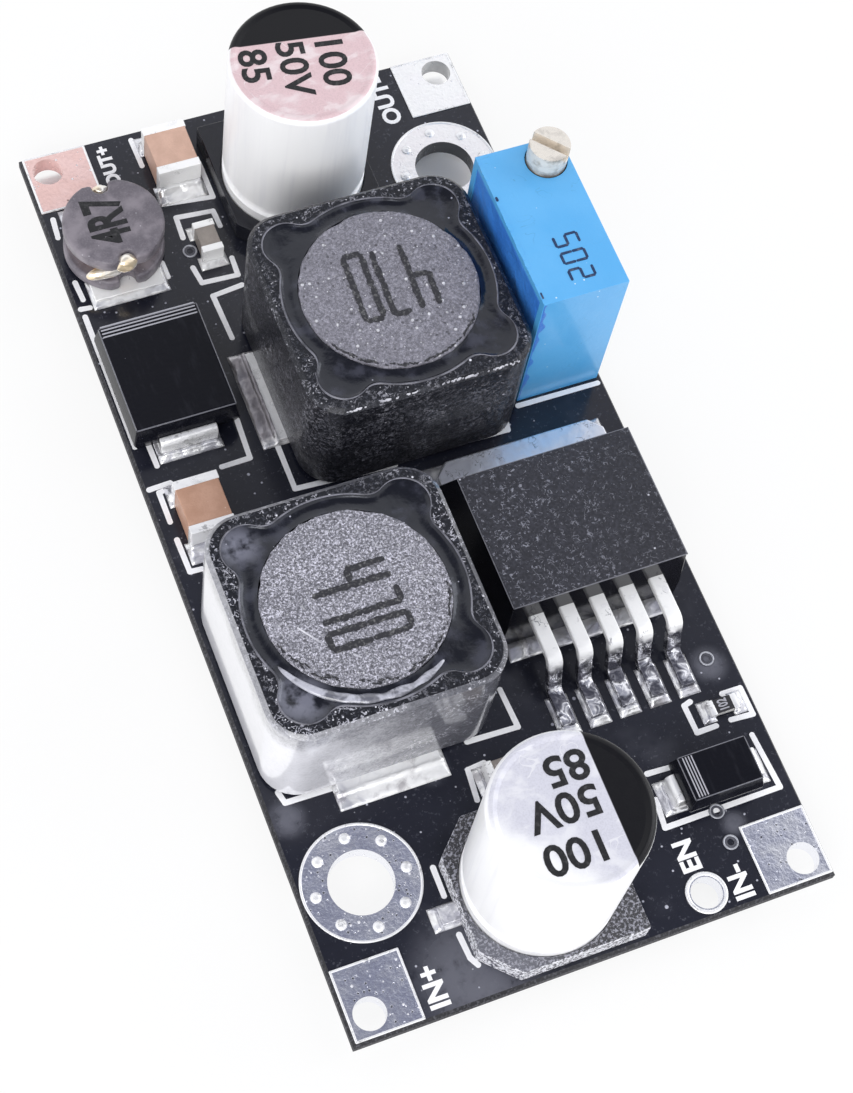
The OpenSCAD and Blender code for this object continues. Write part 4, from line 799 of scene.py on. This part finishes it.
NAMES = [("IN+", (-8.33, -25.32), 0.98), ("IN-", (8.24, -25.55), 0.98), ("EN", (6.25, -23.4), 0.98),
    ("OUT-", (8.25, 24.55), 0.98), ("OUT+", (-8.42, 24.9), 0.72)]
bm = bmesh.new()
for line in OUTLINES:
    for j, (start, end) in enumerate(zip(line, line[1:])):
        bar(bm, start, end, LEGEND_W, BOARD_TOP, BOARD_TOP + LEGEND_T + LIFT * j)
for text, place, size in NAMES:
    letters(bm, text, size, place, NAME_TURN, BOARD_TOP, BOARD_TOP + LEGEND_T, NAME_STRETCH, NAME_WEIGHT)
piece(bm, "board_legend", white_legend)


# Solder: the size of its cells, how far a fillet may stray off its land, and the controller's tinned strip
SOLDER_CELL = 0.13
SOLDER_STRAY = 0.1
STRIP = (1.7, -10.72, 0), (11.4, -9.55, 0)


def extent(points):
    """Lowest and highest corners of some points."""
    return [Vector([pick(p[i] for p in points) for i in range(3)]) for pick in (min, max)]


def islands(node):
    """The separate solids of a CAD node, each as its lowest and highest corners and its points, in mm."""
    bm = merged(node)
    seen, found = set(), []
    for first in bm.verts:
        if first in seen:
            continue
        seen.add(first)
        group = [first]
        for v in group:
            fresh = [w for w in (e.other_vert(v) for e in v.link_edges) if w not in seen]
            seen.update(fresh)
            group.extend(dict.fromkeys(fresh))
        points = [v.co / MM for v in group]
        found.append((*extent(points), points))
    bm.free()
    return found


def wall_of(low, high, points):
    """Where a fillet of solder leans on metal: its place, the way it slopes, half its width, rise and reach."""
    middle = (low + high) / 2
    tall = [p for p in points if p.z > high.z - 0.1 * (high.z - low.z)]
    lean = middle - sum(tall, Vector()) / len(tall)
    along_x = abs(lean.x) > abs(lean.y)
    way = Vector((math.copysign(1, lean.x), 0, 0)) if along_x else Vector((0, math.copysign(1, lean.y), 0))
    wide, deep = (high - low).xy
    reach, half = (wide, deep / 2) if along_x else (deep, wide / 2)
    return middle - way * reach / 2, way, half, high.z - BOARD_TOP, reach


def solder_height(at, low, high, walls):
    """Height of the solder above the board at a point of a land, in mm."""
    edge = min(at.x - low.x, high.x - at.x, at.y - low.y, high.y - at.y)
    swell = 0.04 + 0.08 * (1 - math.exp(-edge / 0.14))
    folds = (abs(noise.noise(at * 0.95)) * 0.13 + noise.noise(at * 2.6) * 0.015) * min(1, edge / 0.2)
    climb = 0.0
    for start, way, half, rise, reach in walls:
        away = (at - start).dot(way)
        aside = max(0.0, abs((at - start).cross(way).z) - half)
        share = min(1.0, max(0.0, 1 - away / reach)) if away > -0.02 else 0.0
        climb = max(climb, rise * (1 - math.sqrt(1 - share * share)) * math.exp(-(aside / 0.14) ** 2))
    return swell + folds + climb


def mound(bm, low, high, walls):
    """A pool of solder on one land: crowned, crumpled, and drawn up against the metal that stands in it."""
    size = high - low
    steps = [max(4, round(side / SOLDER_CELL)) for side in size.xy]
    flat = bmesh.ops.create_grid(bm, x_segments=steps[0], y_segments=steps[1], size=1.0)["verts"]
    half = max(v.co.x for v in flat)
    raised = doubled(bm, flat)
    grow = size.x / 2 / half * MM, size.y / 2 / half * MM, 1
    put(bm, flat + raised, centre_at(low, high, BOARD_TOP), grow)
    for v in raised:
        at = Vector((v.co.x / MM, v.co.y / MM, 0))
        v.co.z = (BOARD_TOP + solder_height(at, low, high, walls)) * MM
    outward(bm, flat + raised)


fillets = [wall_of(*found) for found in islands("solder_joints") if found[1].z > BOARD_TOP]
bm = solid_of("solder_joints")
bmesh.ops.delete(bm, geom=[v for v in bm.verts if v.co.z > (BOARD_TOP - 0.2) * MM], context="VERTS")
for low, high, _ in islands("solder_lands"):
    mound(bm, low, high, [wall for wall in fillets
        if all(low[i] - SOLDER_STRAY < wall[0][i] < high[i] + SOLDER_STRAY for i in range(2))])
piece(bm, "solder_pools", finishes["solder"], ["solder_lands", "solder_joints"], 70)

bm = bmesh.new()
mound(bm, *map(Vector, STRIP), [])
piece(bm, "tinned_strip", finishes["solder"], smooth=70)


# Beads of tin round the pads and rings, and the filled holes of the rings
def bead(bm, start, end, radius, squash):
    """A half-sunk round line of tin from start to end, in mm."""
    run = end - start
    made = bmesh.ops.create_cone(bm, cap_ends=True, segments=12, radius1=radius * MM, radius2=radius * MM,
        depth=(run.length + radius) * MM)["verts"]
    turn = Vector((0, 0, 1)).rotation_difference(run.normalized()).to_matrix().to_4x4()
    put(bm, made, (start + end) / 2, (1, 1, squash), turn)


def ring_bead(bm, centre, ring_r, radius, squash):
    """A half-sunk round ring of tin about a centre, in mm."""
    made = bmesh.ops.create_circle(bm, radius=radius * MM, segments=12)["verts"]
    put(bm, made, (ring_r, 0, 0), turn=Matrix.Rotation(math.pi / 2, 4, "X"))
    edges = list(dict.fromkeys(e for v in made for e in v.link_edges))
    before = set(bm.verts)
    bmesh.ops.spin(bm, geom=made + edges, cent=(0, 0, 0), axis=(0, 0, 1), angle=math.tau, steps=96,
        use_merge=True, use_duplicate=False)
    swept = made + [v for v in bm.verts if v not in before]
    put(bm, swept, centre, (1, 1, squash))
    outward(bm, swept)


PAD_TOP = top_of("in_positive_pad")
PAD_INSET = 0.0125
RING_VIAS, RING_VIAS_AT, VIA_R = 8, 2.4, 0.30
bm = bmesh.new()
for name in ("in_positive_pad", "in_negative_pad", "out_positive_pad", "out_negative_pad"):
    low, high = box_mm(name)
    inset = (high - low) * PAD_INSET
    for start, end in sides(low + inset, high - inset, PAD_TOP):
        bead(bm, start, end, 0.065, 0.7)
for name in ("in_mount_ring", "out_mount_ring"):
    low, high = box_mm(name)
    middle = centre_at(low, high, PAD_TOP)
    ring_bead(bm, middle, (high.x - low.x) / 2 - 0.07, 0.075, 0.7)
    for i in range(RING_VIAS):
        turn = math.tau * i / RING_VIAS
        made = bmesh.ops.create_uvsphere(bm, u_segments=16, v_segments=10, radius=VIA_R * MM)["verts"]
        put(bm, made, middle + Vector((math.cos(turn), math.sin(turn), 0)) * RING_VIAS_AT, (1, 1, 0.5))
low, high = box_mm("enable_pad")
ring_bead(bm, centre_at(low, high, PAD_TOP), (high.x - low.x) / 2 - 0.1, 0.11, 0.6)
piece(bm, "tin_beads", finishes["tinned_leads"], smooth=60)

bm = bmesh.new()
for low, high, _ in islands("vias"):
    ring_bead(bm, centre_at(low, high, high.z), (high.x - low.x) / 2 - 0.06, 0.05, 0.6)
piece(bm, "via_rims", via_tin, smooth=60)


# Glue round the cores: its surface by share of the way from core to shield, and its lip beyond, with heights
GLUE_STEPS = 192
LIP_PATH = [(0.12, -0.02), (0.0, -0.02), (0.02, 0.03), (0.06, 0.055), (0.10, 0.03)]
GLUE_DIP = [(i / 12, -0.03 - 0.10 * (1 - (2 * i / 12 - 1) ** 2)) for i in range(12)] + [(0.99, 0.012)]
GLUE_LIP = [(0.05, 0.02), (0.12, -0.02)]


def glue_pool(coil):
    """Glue between a core and its shield, sunk in the middle, with a thin lip over the shield's edge."""
    low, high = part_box(coil + "_core")
    middle, core_r = (low + high) / 2, (high.x - low.x) / 2
    top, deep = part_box(coil + "_shield")[1].z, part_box(coil + "_glue")[0].z
    spots = [v.co - middle for v in nodes[coil + "_glue"].data.vertices]
    outline = sorted({(round(math.atan2(p.y, p.x), 4), round(p.xy.length, 7)) for p in spots
        if p.xy.length > core_r + 0.3 * MM})
    turns = [a for a, r in outline]

    def edge_at(turn):
        i = bisect.bisect(turns, turn)
        (a0, r0), (a1, r1) = outline[i - 1], outline[i % len(outline)]
        span, part = (a1 - a0) % math.tau, (turn - a0) % math.tau
        return r0 + (r1 - r0) * (part / span if span else 0)

    def lofted(steps, path):
        """A closed band round the core. Each stage of its path has a share of the way to the shield, a
        distance beyond that, a height and a ripple."""
        bm = bmesh.new()
        bmesh.ops.create_circle(bm, radius=core_r, segments=steps)
        first = edges = list(bm.edges)
        for stage, (share, beyond, z, ripple) in enumerate(path):
            if stage:
                made = bmesh.ops.extrude_edge_only(bm, edges=edges)["geom"]
                edges = [e for e in made if isinstance(e, bmesh.types.BMEdge) and len(e.link_faces) == 1]
            for v in dict.fromkeys(v for e in edges for v in e.verts):
                turn = math.atan2(v.co.y, v.co.x)
                r = core_r + (edge_at(turn) - core_r) * share + beyond * MM
                v.co = (r * math.cos(turn), r * math.sin(turn), z)
                v.co.z += ripple * MM * noise.noise(Vector((v.co.x, v.co.y, 0)) / MM * 0.9)
        bmesh.ops.bridge_loops(bm, edges=first + edges)
        return bm

    path = [(share, 0.0, top + dip * MM, 0.2 * share * (1 - share)) for share, dip in GLUE_DIP]
    path += [(1.0, beyond, top + dip * MM, 0.0) for beyond, dip in GLUE_LIP]
    path += [(1.0, 0.0, top - 0.1 * MM, 0.0), (1.0, 0.0, deep, 0.0), (0.0, 0.0, deep, 0.0)]
    pool = lofted(GLUE_STEPS, path)
    lip = lofted(GLUE_STEPS * 2, [(1.0, beyond, top + z * MM, 0.0) for beyond, z in LIP_PATH])
    foot = top + LIP_PATH[0][1] * MM
    for v in lip.verts:
        thin = noise.noise(v.co / MM * 1.1) * 0.5 + 0.5
        v.co.z = foot + (v.co.z - foot) * (0.4 + thin)
    for bm in (pool, lip):
        bmesh.ops.translate(bm, verts=bm.verts, vec=(middle.x, middle.y, 0))
        outward(bm, bm.verts)
    piece(lip, coil + "_glue_lip", glue_lip_highlight, smooth=70)
    piece(pool, coil + "_glue_pool", finishes["black_glue"], [coil + "_glue"], 70)


for coil in ("input_coil", "output_coil"):
    glue_pool(coil)

# A thick wet ridge of glue round the near side of the input coil's core, thinning to its ends
RIDGE_FROM, RIDGE_TO, RIDGE_OUT, RIDGE_R, RIDGE_SINK = -156, -56, 0.48, 0.23, 0.11
low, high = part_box("input_coil_core")
middle, ridge_r = (low + high) / 2, (high.x - low.x) / 2 + RIDGE_OUT * MM
bm = bmesh.new()
made = bmesh.ops.create_circle(bm, radius=RIDGE_R * MM, segments=12)["verts"]
put(bm, made, (ridge_r / MM, 0, 0), turn=Matrix.Rotation(math.pi / 2, 4, "X"))
put(bm, made, (0, 0, 0), turn=Matrix.Rotation(math.radians(RIDGE_FROM), 4, "Z"))
bmesh.ops.spin(bm, geom=made + list(bm.edges), cent=(0, 0, 0), axis=(0, 0, 1),
    angle=math.radians(RIDGE_TO - RIDGE_FROM), steps=72, use_duplicate=False)
for v in bm.verts:
    turn = math.atan2(v.co.y, v.co.x)
    share = min(1.0, max(0.0, (math.degrees(turn) - RIDGE_FROM) / (RIDGE_TO - RIDGE_FROM)))
    thick = math.sin(math.pi * share) ** 0.5 * (0.8 + 0.5 * wave(math.degrees(turn) * 0.11, 6.1))
    r = ridge_r + (v.co.xy.length - ridge_r) * (0.1 + 1.3 * thick)
    v.co = (r * math.cos(turn), r * math.sin(turn), v.co.z * (0.05 + 0.75 * thick))
bmesh.ops.holes_fill(bm, edges=bm.edges, sides=0)
outward(bm, bm.verts)
put(bm, bm.verts, (middle.x / MM, middle.y / MM, top_of("input_coil_shield") - RIDGE_SINK))
piece(bm, "input_coil_glue_ridge", glue_with_painted_highlight, smooth=70)


# Print on the cans, whose tops are sunk, and on the cores, the trimmer and the diodes
CAN_PRINT = {
    "input_capacitor_can": (180, [("100", (-2.2, -24.15)), ("50V", (-1.95, -22.0)), ("85", (-1.15, -20.2))]),
    "output_capacitor_can": (-98, [("100", (2.5, 20.4)), ("50V", (0.4, 20.5)), ("85", (-1.6, 21.2))]),
}
for node, (turn, lines) in CAN_PRINT.items():
    bm = bmesh.new()
    top = top_of(node)
    for text, place in lines:
        letters(bm, text, 1.45, place, turn, top - 0.085, top - 0.055, stretch=1.06, weight=0.04)
    piece(bm, node + "_print", black_print)

PRINT_T = 0.012
STROKES = {"a": ((0, 2), (1, 2)), "b": ((1, 2), (1, 1)), "c": ((1, 1), (1, 0)), "d": ((0, 0), (1, 0)),
    "e": ((0, 0), (0, 1)), "f": ((0, 1), (0, 2)), "g": ((0, 1), (1, 1))}
DIGITS = {"0": "abcdef", "2": "abged", "4": "fgbc", "5": "afgcd", "7": "abc"}


def dotted(bm, start, end, width, low, high):
    """A stroke of ragged dots that run into each other, each a little higher than the last."""
    count = max(2, round((end - start).length / (width * 0.5)))
    way = (end - start).normalized()
    for k in range(count + 1):
        spot = start.lerp(end, k / count)
        ragged = noise.noise(Vector((spot.x * 7.3, spot.y * 7.3, 0)))
        aside = 0.18 * width * noise.noise(Vector((spot.y * 9.1, spot.x * 9.1, 3)))
        spot = spot + Vector((-way.y, way.x, 0)) * aside
        reach = way * width * 0.12
        bar(bm, spot - reach, spot + reach, width * (0.88 + 0.4 * ragged), low, high + 0.0001 * k)


def broken_digits(bm, node, text, place, turn, height, width, pitch, stroke, line=bar):
    """Numbers on top of a node in separate strokes, as a dot printer leaves them, centred at place."""
    face = Matrix.Translation((*place, 0)) @ Matrix.Rotation(math.radians(turn), 4, "Z")
    top = top_of(node)
    for i, digit in enumerate(text):
        left = (i - (len(text) - 1) / 2) * pitch
        for j, name in enumerate(DIGITS[digit]):
            start, end = (Vector((left + (x - 0.5) * width, (y - 1) * height / 2, 0))
                for x, y in STROKES[name])
            trim = (end - start).normalized() * stroke * 0.55
            line(bm, face @ (start + trim), face @ (end - trim), stroke, top, top + PRINT_T + LIFT * 0.7 * j)


bm = bmesh.new()
broken_digits(bm, "input_coil_core", "470", (-6.5, -8.25), -90, height=4.1, width=0.85, pitch=1.5, stroke=0.36,
    line=dotted)
broken_digits(bm, "output_coil_core", "470", (1.6, 8.45), 178, height=4.0, width=0.95, pitch=1.55, stroke=0.36,
    line=dotted)
piece(bm, "core_print", core_print)

bm = bmesh.new()
broken_digits(bm, "trimmer_case", "502", (10.6, 5.9), -90, height=1.3, width=0.62, pitch=1.05, stroke=0.15)
piece(bm, "trimmer_print", blue_print)

bm = bmesh.new()
top = top_of("filter_coil_core")
letters(bm, "4R7", 2.0, (-10.15, 19.55), 90, top, top + PRINT_T, stretch=0.66, weight=0.09)
piece(bm, "drum_print", black_print)

# Cathode bands: the ends of the first line, the step to the next and the width of each, in mm
BAND_LINES = 4
BANDS = [("rectifier_body", (-12.55, 13.62), (-7.35, 13.62), (0, -0.21), 0.085),
    ("input_diode_body", (7.36, -21.3), (7.36, -19.15), (0.16, 0), 0.07)]
bm = bmesh.new()
for node, start, end, step, width in BANDS:
    top = top_of(node)
    for i in range(BAND_LINES):
        shift = Vector(step) * i
        bar(bm, Vector(start) + shift, Vector(end) + shift, width, top, top + PRINT_T)
top = top_of("enable_resistor_coat")
letters(bm, "102", 0.5, (11.24, -16.63), 90, top, top + PRINT_T, stretch=0.62, weight=0.02)
piece(bm, "band_print", grey_print)

# Edges of the moulded bodies, pale: a painted highlight
bm = bmesh.new()
for name in ("rectifier_body", "input_diode_body", "controller_body"):
    top = top_of(name)
    low, high = extent([v.co / MM for v in nodes[name].data.vertices if v.co.z / MM > top - 0.01])
    for start, end in sides(low, high, top):
        bar(bm, start, end, 0.06, top - 0.07, top - 0.022)
piece(bm, "edge_highlights", edge_highlight)

# Pits along the near rims of the cores, and scratches across the input coil's
PITTED = [("input_coil_core", -165, -10, 0.42), ("output_coil_core", -150, -40, 0.2)]
PITS = 170
bm = bmesh.new()
for name, start, end, depth in PITTED:
    low, high = box_mm(name)
    middle, core_r = (low + high) / 2, (high.x - low.x) / 2
    for i in range(PITS):
        turn = math.radians(start + (end - start) * i / (PITS - 1))
        size = wave(i * 0.31, 2.2) + 0.5 * wave(i * 0.83, 5.5)
        if size > 0.02:
            r = core_r - 0.14 - depth * abs(wave(i * 0.23, 9.1))
            spot = Vector((middle.x + r * math.cos(turn), middle.y + r * math.sin(turn)))
            lean = turn + math.pi / 2 + 1.2 * wave(i * 0.47, 3.3)
            size = min(size, 0.7)
            reach = Vector((math.cos(lean), math.sin(lean))) * (0.05 + 0.16 * size)
            top = high.z + 0.004 + 0.00003 * i
            bar(bm, spot - reach, spot + reach, 0.05 + 0.06 * size, high.z - 0.04, top)
piece(bm, "core_pits", core_print)

SCRATCHES = [((-9.77, -8.48), (-8.87, -9.70)), ((-7.69, -10.64), (-7.41, -10.89))]
bm = bmesh.new()
top = top_of("input_coil_core")
for start, end in SCRATCHES:
    bar(bm, start, end, 0.09, top - 0.02, top + 0.006)
piece(bm, "core_scratches", ferrite_chip)

# Clear amber glue that holds the drum's wire ends in its notches
DROPS = [((-9.97, 17.05, 4.2), (0.66, 0.46, 0.55)), ((-11.1, 17.25, 3.5), (1.1, 0.36, 0.36)),
    ((-9.9, 21.85, 4.1), (0.5, 0.4, 0.5))]
bm = bmesh.new()
for place, size in DROPS:
    made = bmesh.ops.create_uvsphere(bm, u_segments=32, v_segments=18, radius=MM)["verts"]
    for v in made:
        v.co *= 1 + 0.12 * noise.noise(v.co / MM * 1.4 + Vector(place))
    put(bm, made, place, size)
piece(bm, "drum_glue", amber_glue, smooth=180)

# Chipped edge along the front of the output coil's shield
CHIPS, CHIPS_IN = 130, 1.4
low, high = box_mm("output_coil_shield")
bm = bmesh.new()
for i in range(CHIPS):
    x = low.x + CHIPS_IN + (high.x - low.x - 2 * CHIPS_IN) * i / (CHIPS - 1)
    size = wave(x * 1.3, 3.1) + 0.9 * wave(x * 8.3, 1.2)
    if size > 0.05:
        y = low.y + 0.04 + 0.22 * abs(wave(x * 5.1, 7.7))
        lean = 0.08 * wave(x * 6.7, 2.9)
        top = high.z - 0.03 + 0.0002 * i
        bar(bm, (x, y), (x + 0.06, y + lean), 0.03 + 0.11 * min(size, 0.8), high.z - 0.09, top)
piece(bm, "shield_chips", ferrite_chip)


# Potting on the open side of the trimmer, run and ragged at its edges
POTTING_STEPS, POTTING_OVER, RAGGED_EDGE = 64, 0.06, 0.3
low, high = box_mm("trimmer_side_plate")
case = box_mm("trimmer_case")[0].x
wide, tall = (high.y - low.y) / 2 + POTTING_OVER, (high.z - low.z) / 2 + POTTING_OVER
bm = bmesh.new()
flat = bmesh.ops.create_grid(bm, x_segments=POTTING_STEPS, y_segments=POTTING_STEPS, size=1.0)["verts"]
half = max(v.co.x for v in flat)
for v in flat:
    y, z = v.co.x / half * wide, v.co.y / half * tall
    edge = min(wide - abs(y), tall - abs(z))
    at = Vector((y, z, 0))
    ragged = 0.10 * (1 if edge < RAGGED_EDGE else 0.2)
    y += ragged * noise.noise(at * 2.1)
    z += ragged * noise.noise(at * 2.1 + Vector((9, 0, 0)))
    lump = 0.05 + 0.05 * noise.noise(at * 0.8) + 0.03 * noise.noise(at * 3.0)
    sunk = low.x + 0.02 if edge < 1e-6 else low.x - min(lump, low.x - case)
    v.co = Vector((sunk, (low.y + high.y) / 2 + y, (low.z + high.z) / 2 + z)) * MM
bmesh.ops.solidify(bm, geom=bm.faces, thickness=0.05 * MM)
outward(bm, bm.verts)
piece(bm, "trimmer_potting_skin", finishes["trimmer_potting"], smooth=50)

# Torn flash along the open side's top and front edges of the trimmer, and the dark seam under it
NICKS = [(0.035, 0.07), (0.70, 0.72)]
FLASH_STEPS = 120
low, high = box_mm("trimmer_case")
x, front = low.x + 0.1, low.y + 0.02
flash, run_down, seam = bmesh.new(), bmesh.new(), bmesh.new()
for i in range(FLASH_STEPS):
    share = i / (FLASH_STEPS - 1)
    torn = wave(share * 15, 4.4) + 0.5 * wave(share * 47, 1.7)
    y = low.y + (high.y - low.y - 0.1) * share
    rise = 0.00012 * i
    if torn > -0.1:
        width = 0.12 + 0.26 * min(torn + 0.1, 0.6)
        bar(flash, (x, y), (x, y + 0.08), width, high.z - 0.1, high.z + 0.012 + rise)
    if any(start < share < end for start, end in NICKS):
        bar(seam, (x, y), (x, y + 0.06), 0.09 + 0.1 * abs(torn), high.z - 0.1, high.z + 0.03 + rise)
    z = low.z + 0.1 + (high.z - low.z - 0.3) * share
    run = 0.05 + 0.4 * max(0.0, wave(share * 11, 8.2) + 0.15)
    bar(run_down, (low.x + 0.06, front), (low.x + 0.06 + run, front), 0.05 + 0.0001 * i, z, z + 0.079)
piece(flash, "trimmer_flash", finishes["trimmer_blue"])
piece(run_down, "trimmer_potting_run", finishes["trimmer_potting"])
piece(seam, "trimmer_seam", blue_print)

# Floor, light and world. The floor glows for the camera and in mirrors, but not under the board's OUT end
SHADED_Y, SHADED_HALF, SHADED_FADE = 22.0, 4.4, 0.2
floor = Finish("pale floor", base_color=(0.9, 0.9, 0.9, 1), roughness=0.9)
seen = sum(floor.node("ShaderNodeLightPath", {}, {}, ray) for ray in ("Is Camera Ray", "Is Glossy Ray"))
lit = Value(floor, floor.shader.outputs[0])
glow = floor.node("ShaderNodeEmission", {}, {"Color": (1, 1, 1, 1), "Strength": 1.0})
board_half = cad_box[1][0] / MM
under_x = floor.between(abs(floor.axis("X", floor.at)), board_half - 0.2, board_half - 0.6)
off_y = abs(floor.axis("Y", floor.at) - SHADED_Y)
under_y = floor.between(off_y, SHADED_HALF + SHADED_FADE, SHADED_HALF - SHADED_FADE)
both = floor.node("ShaderNodeMixShader", {}, {0: seen * 0.85 * (1 - under_x * under_y), 1: lit, 2: glow})
floor.tree.links.new(both.socket, floor.tree.nodes["Material Output"].inputs["Surface"])
bm = bmesh.new()
bmesh.ops.create_grid(bm, x_segments=1, y_segments=1, size=1.5)
bmesh.ops.translate(bm, verts=bm.verts, vec=(0, 0, cad_box[0][2]))
meshed(bm, "floor", floor)


def softbox(name, place, target, size, power, colour=(1, 1, 1)):
    lamp = bpy.data.lights.new(name, "AREA")
    lamp.shape, lamp.size, lamp.size_y, lamp.energy, lamp.color = "RECTANGLE", size[0], size[1], power, colour
    made = placed(name, lamp)
    made.location = place
    made.rotation_euler = (Vector(target) - Vector(place)).to_track_quat("-Z", "Y").to_euler()


softbox("key softbox", (-0.22, -0.36, 0.28), (0, 0, 0), (0.34, 0.34), 1.25, (1.0, 0.99, 0.97))
softbox("right fill", (0.42, -0.02, 0.24), (0, 0, 0), (0.3, 0.3), 0.55, (0.97, 0.98, 1.0))

world = bpy.data.worlds.new("studio")
world.use_nodes = True
bpy.context.scene.world = world
sky = Nodes(world.node_tree)
height = sky.axis("Z", sky.node("ShaderNodeTexCoord", {}, {}, "Generated"))
tone = sky.mix(sky.between(height, 0.95, 0.82), (0.25, 0.26, 0.32), (0.96, 0.97, 1.0))
sky.tree.links.new(tone.socket, sky.tree.nodes["Background"].inputs["Color"])

bpy.context.scene.view_settings.view_transform = "Standard"

bpy.context.view_layer.update()
